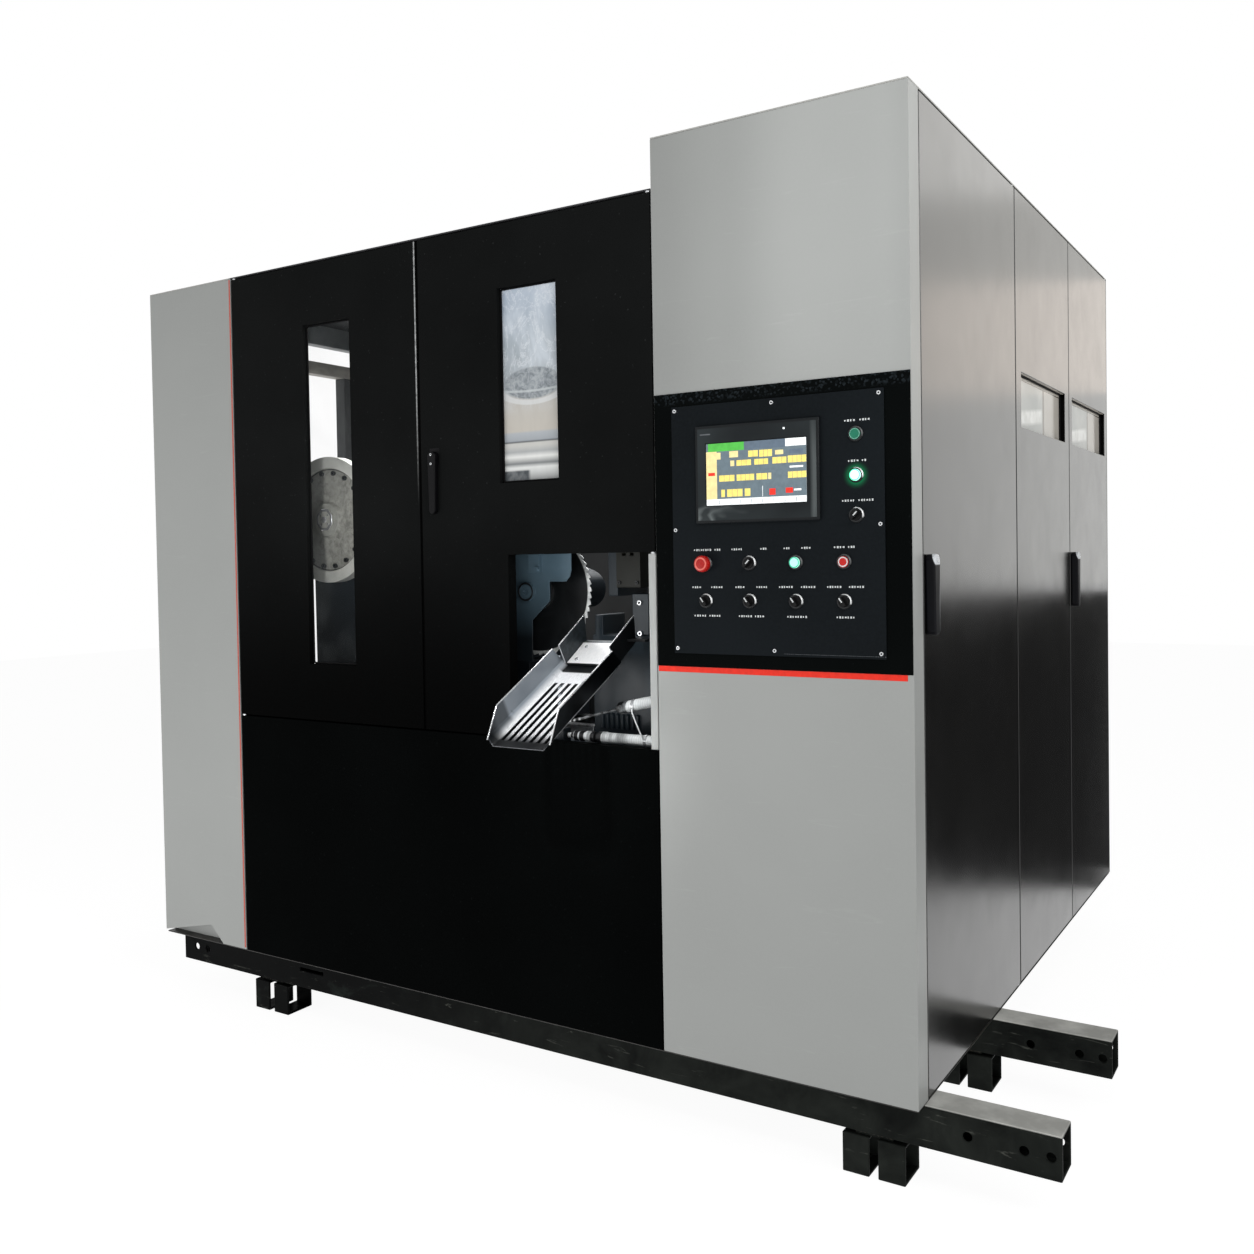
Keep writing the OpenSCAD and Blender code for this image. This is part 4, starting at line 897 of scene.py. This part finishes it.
SOFT = {
    "cabinet_front": 1.2, "front_left_panel": 1, "left_side_panel": 0.9, "lower_apron": 0.9,
    "front_left_door": 0.9, "front_right_door": 0.9, "side_door_a": 0.9, "side_panel_b": 0.9,
    "side_door_c": 0.9, "control_band": 0.4, "control_plate": 0.8, "hmi_housing": 2.2,
    "skid_rails": 2.4, "foot_stubs": 2.4, "foot_plates": 1, "machine_bed": 2, "frame_posts": 1.4,
    "frame_beams": 2, "saw_head": 3, "blade_guard": 0.8, "vise_body": 2, "moving_jaw": 1.8,
    "clamp_cylinder": 1.6, "clamp_ram": 1, "feed_carriage": 2, "feed_jaw": 1.8,
    "front_latch": 2.4, "side_latch_a": 3, "side_latch_c": 3, "lower_chute": 0.5,
    "upper_chute": 0.5, "chute_plate": 0.7, "guide_rails": 1, "roof_panels": 0.9,
    "drive_motor": 1.4}
for name, width in SOFT.items():
    soften(name, width)

# ---- trim, seals and fasteners

def mm(v):
    return (v - D) * 1000


def corners(node):
    """The lowest and highest corner of a node, in millimetres from the datum."""
    return [mm(v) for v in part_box(node)]


PLATE_Y = corners("control_plate")[0].y

# colour bands: a faded one down the left panel and a bright one under the control band
Shape().box((-1896, -0.3, 5), (-1891, 0.1, 1833)).build("left_panel_stripe", "frame", "button_red",
    "tape_faded", 0.1)
Shape().box((-556, -0.35, 817), (-12, 0.1, 828.8)).build(
    "band_stripe", "frame", "button_red", "tape_red", 0.1)

# screws of the control plate
s = Shape()
for x, z in [(-505, 1363), (-283, 1363), (-61, 1363), (-506, 1115), (-60, 1115), (-505, 868), (-283, 868),
        (-61, 868)]:
    s.socket((x, PLATE_Y, z), FRONT, 4, 3.2)
s.build("plate_screws", "frame", "chrome", "bright recess")

# printed captions stand as rows of plain dashes
s = Shape()
# height of a row, then where each caption starts and ends
ROWS = [
    (1315, -131, -107, -100, -78),
    (1237.6, -124, -101, -96, -86),
    (1161.5, -137, -110, -104, -72),
    (1072.5, -464, -422, -416, -400, -377, -351, -312, -296, -261, -246, -223, -202, -155, -131, -126, -110),
    (995.5, -469, -447, -425, -396, -369, -347, -322, -296, -272, -241, -225, -193, -170, -139, -125, -93),
    (936.5, -465, -435, -430, -402, -362, -331, -326, -304, -255, -211, -151, -112),
]
for z, *ends in ROWS:
    for x0, x1 in zip(ends[::2], ends[1::2]):
        n = max(2, round((x1 - x0) / 5.6))
        w = (x1 - x0) / n
        for i in range(n):
            h = 2 if i % 3 else 1.5
            s.box((x0 + i * w, PLATE_Y - 0.15, z - h), (x0 + i * w + w * (0.62 if i % 2 else 0.45),
                PLATE_Y + 0.05, z + h))
for i in range(46):
    x = -262 + i * 4.6
    s.box((x, PLATE_Y - 0.15, 861.7), (x + (2.6 if i % 4 else 1.4), PLATE_Y + 0.05, 862.5), 1)
s.build("plate_captions", "frame", "chrome", "print_white print_grey")

# operator panel: film over the bezel, indicator and the picture on the screen
h0, h1 = corners("hmi_housing")
s0, s1 = corners("hmi_screen")
fy = h0.y - 0.25
s = Shape()
for a, b in [((h0.x + 6, s1.z + 2), (h1.x - 6, h1.z - 6)), ((h0.x + 6, h0.z + 6), (h1.x - 6, s0.z - 2)),
        ((h0.x + 6, s0.z - 2), (s0.x - 2, s1.z + 2)), ((s1.x + 2, s0.z - 2), (h1.x - 6, s1.z + 2))]:
    s.box((a[0], fy, a[1]), (b[0], fy + 0.3, b[1]))
s.build("hmi_film", "frame", "hmi_plastic", "film")
s = Shape()
s.revolve((h1.x - 74, fy, h1.z - 17), FRONT, [(2.1, 0), (1.8, 0.8), (0, 1)], 16)
s.box((h0.x + 12, fy - 0.12, h1.z - 19), (h0.x + 36, fy + 0.05, h1.z - 16.5), 1)
s.build("hmi_indicator", "frame", "button_lit", "led_white print_grey")

# left, right, top and bottom in hundredths of the screen, and the material's number
TILES = [(0, 100, 0, 100, 0), (2, 39, 0, 13, 1), (39, 80, 0, 13, 2), (80, 100, 0, 12, 3),
    (0, 11, 13, 98, 4), (0, 100, 90, 100, 3), (8, 15, 15, 26, 4), (24, 33, 14, 24, 4),
    (43, 53, 15, 25, 5), (54, 67, 15, 26, 5), (70, 78, 17, 24, 4), (84, 97, 17, 24, 2),
    (25, 29, 29, 38, 4), (31, 46, 29, 38, 5), (49, 63, 29, 38, 5), (67, 81, 28, 38, 5),
    (82, 100, 27, 38, 5), (13, 29, 52, 62, 5), (31, 49, 52, 62, 5), (51, 62, 52, 62, 5),
    (63, 66, 52, 62, 4), (82, 100, 52, 62, 5), (84, 97, 43, 46, 3), (15, 19, 75, 87, 5),
    (21, 37, 75, 87, 5), (39, 45, 75, 87, 5), (2, 9, 47, 52, 6), (64, 70, 77, 87, 6), (80, 87, 77, 85, 6),
    (88, 95, 79, 82, 3), (57, 57.5, 72, 89, 3)]
s = Shape()
for n, (*edges, k) in enumerate(TILES):
    u0, u1, v0, v1 = (e / 100 for e in edges)
    y = s0.y - 0.05 - 0.06 * (k > 0) - 0.06 * (k in (5, 6)) - 0.002 * n
    x0, x1 = s0.x + u0 * (s1.x - s0.x), s0.x + u1 * (s1.x - s0.x)
    z0, z1 = s1.z - v1 * (s1.z - s0.z), s1.z - v0 * (s1.z - s0.z)
    if k == 5:
        cells = max(1, round((u1 - u0) / 0.05))
        for i in range(cells):
            w = (x1 - x0) / cells
            s.box((x0 + i * w + 0.7, y, z0), (x0 + (i + 1) * w, s0.y, z1), k)
    else:
        s.box((x0, y, z0), (x1, s0.y, z1), k)
for i in range(9):
    x = s0.x + (0.02 + i * 0.11) * (s1.x - s0.x)
    s.box((x, s0.y - 0.3, s0.z + 2), (x + 0.8, s0.y, s0.z + 10), 2)
s.build("screen_picture", "frame", "screen",
    "px_grey px_green px_slate px_white px_cream px_yellow px_red")

# rings and marks that ride on the operators


def on_node(node):
    return mm(middle(node)), corners(node)[0].y


for node, body, slot, r0, r1, key in [
        ("estop_head", "estop", "estop_red", 10.2, 13.4, "ring_red"),
        ("red_button", "button_red", "button_red", 7.6, 9.9, "print_white"),
        ("pale_button", "button_pale", "button_pale", 8.6, 10.5, "ring_green"),
        ("green_button", "button_green", "button_green", 9, 10.4, "ring_pale"),
        ("lit_button", "button_lit", "button_lit", 9.2, 10.6, "ring_lit")]:
    c, y = on_node(node)
    m = (r0 + r1) / 2
    Shape().ring((c.x, y, c.z), FRONT, [(r0, -0.4), (r0, 0.1), (m, 0.5), (r1, 0.1), (r1, -0.4)],
        40).build(node + "_ring", body, slot, key)
for k, node in enumerate("abcdef"):
    c, y = on_node("selector_" + node)
    a = radians(45 if k < 2 else -35)
    d, e = Vector((sin(a), 0, cos(a))), Vector((cos(a), 0, -sin(a)))
    o = Vector((c.x, y, c.z))
    s = Shape(lambda p, o=o, d=d, e=e: o + e * p.x + d * p.z + Vector((0, p.y, 0)))
    s.box((-1.3, -0.3, -1.5), (1.3, 0.1, 9))
    s.build("selector_%s_mark" % node, "sel_" + node, "knob_black", "print_white", 0.25)
    Shape().ring((c.x, PLATE_Y - 7, c.z), FRONT, [(8.6, -0.2), (8.6, 0.5), (10.3, 0.5), (10.6, -0.2)],
        40).build("selector_%s_collar" % node, "sel_" + node, "knob_black", "knob_black")

# rubber strips behind the gaps between doors and panels
s = Shape()
AX0, AX1 = -1882, -566
s.box((AX0, 31.3, 638), (-962, 33.8, 662))
s.box((AX0, 31.3, 1820), (AX1, 33.8, 1834))
s.box((-1896, 31.3, 5), (-1881, 33.8, 1834))
s.build("front_gap_seals", "frame", "latch_black", "rubber", 0.6)
Shape().box((-1230, 29.9, 655), (-1220.6, 32.4, 1826)).build("door_edge_seal", "door_left", "latch_black",
    "rubber", 0.6)
s = Shape()
for y in (60, 777, 1378):
    s.box((-31.9, y - 9, 6), (-31.15, y + 9, 1930))
s.build("side_gap_seals", "frame", "latch_black", "rubber", 0.2)


def gasket(name, pane, body, side=False):
    a, b = corners(pane)
    if side:
        low, high, z0, z1, f = a.y + 12, b.y - 12, a.z + 12, b.z - 12, b.x
    else:
        low, high, z0, z1, f = a.x + 12, b.x - 12, a.z + 12, b.z - 12, a.y
    g, path = 2.4, []
    for cx, cz, t0 in [(high - g - 5, z1 - g - 5, 0), (low + g + 5, z1 - g - 5, 90),
            (low + g + 5, z0 + g + 5, 180), (high - g - 5, z0 + g + 5, 270)]:
        for q in range(5):
            t = radians(t0 + q * 22.5)
            p = (cx + 5 * cos(t), cz + 5 * sin(t))
            path.append((f + g, p[0], p[1]) if side else (p[0], f - g, p[1]))
    Shape().tube(path, g, 8, True).build(name, body, "latch_black", "rubber")


gasket("left_window_gasket", "front_left_pane", "door_left")
gasket("right_window_gasket", "front_right_pane", "door_right")
gasket("side_b_gasket", "side_pane_b", "frame", True)
gasket("side_c_gasket", "side_pane_c", "door_c", True)

# latches: an escutcheon on the door and screws on the lever
la, lb = corners("front_latch")
lx = (la.x + lb.x) / 2
Shape().box((lx - 15, -0.28, lb.z - 34), (lx + 15, 0.05, lb.z + 8)).build("front_latch_plate",
    "door_right", "latch_black", "latch_black", 0.1)
s = Shape()
for dz in (8, 30):
    s.socket((lx, la.y, lb.z - dz), FRONT, 3, 1.6)
s.build("front_latch_screws", "latch_front", "chrome", "bright recess", 0.2)
for k in "ac":
    a, b = corners("side_latch_" + k)
    y = (a.y + b.y) / 2
    Shape().socket((b.x, y, b.z - 12), (1, 0, 0), 4, 2).build("side_latch_%s_screws" % k, "latch_" + k,
        "chrome", "bright recess", 0.3)

# ---- work zone

W = mm(middle("flywheel"))
wy = mm(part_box("flywheel")[0]).y + 10
s = Shape()
for k in range(18):
    t = radians(20 * k)
    s.socket((W.x + 128 * cos(t), wy + 6, W.z + 128 * sin(t)), FRONT, 6.5, 6, 16)
s.build("flywheel_bolts", "wheel", "latch_black", "oxide recess")
s = Shape()
s.ring((W.x, wy - 10, W.z), FRONT, [(24, -0.5), (24, 1.2), (26, 2.2), (30, 2.2), (31.5, 1), (31.5, -0.5)],
    8, 0, radians(22.5))
s.revolve((W.x, wy - 10, W.z), FRONT, [(9, 0), (9, 4), (7.5, 5), (0, 5)], 6, 0)
for k in range(4):
    t = radians(45 + 90 * k)
    s.socket((W.x + 17 * cos(t), wy - 10, W.z + 17 * sin(t)), FRONT, 2.6, 2, 12)
s.build("flywheel_hub_ring", "wheel", "chrome", "bright recess")

B = mm(middle("saw_blade"))
gy = 125
s = Shape()
for t in (100, 128, 156, 184, 212, 240):
    a = radians(t)
    s.hexbolt((B.x + 156 * cos(a), gy, B.z + 156 * sin(a)), FRONT, 5.5, 5)
s.ring((B.x, gy - 8, B.z), FRONT, [(18.4, -0.3), (18.4, 0.5), (20.6, 0.9), (22.6, 0.5), (22.6, -0.3)], 40,
    0)
s.build("guard_bolts", "head", "chrome", "oxide")

j0 = corners("moving_jaw")[0]
s = Shape()
for z in (954, 882):
    s.socket((j0.x + 22, j0.y, z), FRONT, 6, 5)
s.build("jaw_screws", "vise_jaw", "chrome", "bright recess")
c0, c1 = corners("clamp_cylinder")
s = Shape()
for x, z in [(c0.x + 9, c1.z - 10), (c1.x - 9, c1.z - 10), (c0.x + 9, c0.z + 12), (c1.x - 9, c0.z + 12)]:
    s.socket((x, c0.y, z), FRONT, 4.5, 4)
s.build("clamp_screws", "frame", "chrome", "oxide recess")

# chute: hems along the wall tops, screws of the plate


def tilted(origin, angle):
    c, s = cos(angle), sin(angle)
    return lambda p: Vector((origin[0] + p.x, origin[1] + p.y * c - p.z * s,
        origin[2] + p.y * s + p.z * c))


CHW = mm(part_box("lower_chute")[1]).x - LOW_AT[0]
s = Shape(tilted(LOW_AT, SLOPE))
for x in (1, CHW - 1):
    s.tube([(x, 7, 11.6), (x, 40, 36.8), (x, 66, 56.6), (x, 70, 58.3), (x, 180, 58.3), (x, 301, 58.3)],
        1.7, 8)
s.build("lower_chute_hems", "frame", "chute_steel", "bright")
U0 = mm(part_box("upper_chute")[0])
s = Shape(tilted((U0.x, *UP_AT), TILT))
for x in (1, 139):
    s.tube([(x, -4, 0), (x, -4, 54), (x, 60, 54.2), (x, 119, 54.2)], 1.6, 8)
s.build("upper_chute_hems", "frame", "chute_steel", "bright")
s = Shape(tilted((U0.x, *UP_AT), TILT))
for x in (22, 118):
    for y in (14, 64):
        s.revolve((x, y, 3), (0, 0, 1), [(5.6, 0), (5.2, 1.1), (3.4, 2), (0, 2.3)], 20, 0)
        s.box((x - 2.6, y - 0.45, 4.9), (x + 2.6, y + 0.45, 5.5), 1)
s.build("chute_plate_screws", "frame", "chrome", "bright recess")

# earth wire between the two conduits
s = Shape()
s.tube([(-667, 66, 721), (-664, 62, 714), (-658, 60, 703), (-651, 59, 690), (-645, 59, 677),
    (-640, 60, 666), (-637, 63, 657), (-636, 66, 651)], 1.6, 8)
s.build("earth_wire", "frame", "conduit", "conduit")
s = Shape()
for cx, cz in ((-667, 729), (-636, 651)):
    s.ring((cx - 4, 78, cz), (1, 0, 0), [(12.7, 0), (14.2, 0.5), (14.2, 7.5), (12.7, 8)], 24)
s.build("conduit_clips", "frame", "chrome", "bright")

# weld beads: foot plates to rails and stubs
s = Shape()
for fx, fy in [(-172, 42), (-1906, 42), (-137, 534), (-1906, 534), (-404, 1750), (-1906, 1750)]:
    s.tube([(fx + 26 + i * 3, fy + 7.4, -88.6) for i in range(27)], 2.4, 6, False, 0, 0.3)
s.build("skid_welds", "frame", "skid_paint", "weld")

# ---- stage, lamps and camera


def backdrop(name, corners, strength, fill=None, camera=True, shade=0.5):
    mesh = bpy.data.meshes.new(name)
    mesh.from_pydata([Vector(c) for c in corners], [], [(0, 1, 2, 3)])
    o = show(name, mesh)
    m = bpy.data.materials.new(name)
    m.use_nodes = True
    tree = m.node_tree
    tree.nodes.clear()
    dull = add_node(tree, "BsdfDiffuse", {"Color": fill or (0.86, 0.86, 0.86, 1)}).outputs[0]
    glow = add_node(tree, "Emission", {"Strength": strength, "Color": fill or (1, 1, 1, 1)}).outputs[0]
    both = add_node(tree, "MixShader", {0: shade, 1: dull, 2: glow}).outputs[0]
    add_node(tree, "OutputMaterial", {0: both})
    mesh.materials.append(m)
    o.visible_camera = camera
    return o


backdrop("floor", [(-14, -14, 0), (14, -14, 0), (14, 14, 0), (-14, 14, 0)], 1.165, shade=0.81)


def card(name, z0, z1, strength, color, line=((1.04, 1.843), (3.6, 0.22))):
    """A reflector or black flag beside the machine, seen only in glossy surfaces."""
    a, b = line
    o = backdrop(name, [(*a, z0), (*b, z0), (*b, z1), (*a, z1)], strength, color, False,
        1 if strength else 0)
    o.visible_shadow = False
    o.visible_diffuse = False
    o.visible_transmission = False


card("dark_flag", 0, 1.08, 0, (0.02, 0.02, 0.02, 1))
card("dark_skirt", 0, 0.13, 0, (0.02, 0.02, 0.02, 1), ((1.075, 1.525), (3.466, 0.009)))
card("low_card", 1.11, 1.84, 1.17, (1, 1, 0.98, 1))
card("warm_card", 1.84, 2.27, 1.7, (1, 0.93, 0.86, 1))
card("mid_card", 2.27, 2.6, 1.12, (1, 0.99, 0.95, 1))
card("high_card", 2.6, 5, 1.75, (1, 0.99, 0.96, 1))

# white to the camera and in reflections, and dim as a light
world = bpy.data.worlds.new("studio")
bpy.context.scene.world = world
world.use_nodes = True
tree = world.node_tree
ray = add_node(tree, "LightPath").outputs
seen = ray["Is Camera Ray"]
for other in ("Is Glossy Ray", "Is Transmission Ray"):
    seen = add_node(tree, "Math", {0: seen, 1: ray[other]}, operation="MAXIMUM").outputs[0]
level = add_node(tree, "MapRange", {"Value": seen, "To Min": 0.22, "To Max": 1}).outputs[0]
put(level, tree.nodes["Background"].inputs["Strength"])
put((1, 1, 1, 1), tree.nodes["Background"].inputs["Color"])


def lamp(kind, name, place, target, power, **settings):
    data = bpy.data.lights.new(name, kind)
    data.energy = power
    for key, value in settings.items():
        setattr(data, key, value)
    o = show(name, data)
    o.location = place
    o.rotation_euler = (Vector(target) - Vector(place)).to_track_quat("-Z", "Y").to_euler()


def area(name, place, target, size, power, size_y=None):
    lamp("AREA", name, place, target, power, size=size, shape="RECTANGLE" if size_y else "SQUARE",
        size_y=size_y or size)


def spot(name, place, target, degrees, power):
    lamp("SPOT", name, place, target, power, spot_size=radians(degrees), spot_blend=0.5,
        shadow_soft_size=0.12)


area("key", (-1.2, -6, 2.3), (-0.2, -0.8, 0.8), 3.2, 15)
area("low_left", (-1.6, -3.2, 0.4), (-1.1, -0.9, 0.5), 1.2, 25)
area("low_right", (1.3, -3.2, 0.75), (0.7, -0.9, 0.75), 1, 7)
area("top_right", (1.6, -1.95, 2.15), (0.9, -0.9, 1.8), 0.5, 8.5)
area("right", (4.6, -1.6, 3.6), (0.9, 0, 1), 2.6, 60)
area("inside_front", at(-1250, 420, 1740), at(-1250, 380, 900), 0.9, 12, 0.35)
area("inside_rear", at(-1100, 1350, 1740), at(-1100, 1300, 900), 0.9, 6, 0.35)
spot("chute_spot", (0.15, -2.5, 2.7), at(-765, -20, 740), 12, 180)
spot("wheel_spot", (1.21, -3.4, 1.4), at(-1650, 160, 1180), 8, 160)

# the camera that took the photo: turns in radians, focal length and centre in pixels of the frame
YAW, PITCH, ROLL = 0.5651, 0.0243, -0.0167
FOCAL, CX, CY, FRAME = 1175.7018, 621.7683, 588.5292, 1254
EYE = (717.6291, -2151.1913, 1054.7519)  # millimetres from the datum


def turn(a, axis):
    return Matrix.Rotation(a, 3, axis)


to_cv = Matrix(((1, 0, 0), (0, 0, -1), (0, 1, 0)))
view = turn(ROLL, "Z") @ turn(PITCH, "X") @ to_cv @ turn(-YAW, "Z")
right, down, forward = view[0], view[1], view[2]
camera = bpy.data.cameras.new("camera")
camera.sensor_width = 36
camera.lens = 36 * FOCAL / FRAME
camera.shift_x = (FRAME / 2 - CX) / FRAME
camera.shift_y = (CY - FRAME / 2) / FRAME
cam = show("camera", camera)
cam.matrix_world = (Matrix.Translation(at(*EYE)) @ Matrix((right, -down, -forward)).transposed().to_4x4())
bpy.context.scene.camera = cam
bpy.context.scene.view_settings.view_transform = "Standard"
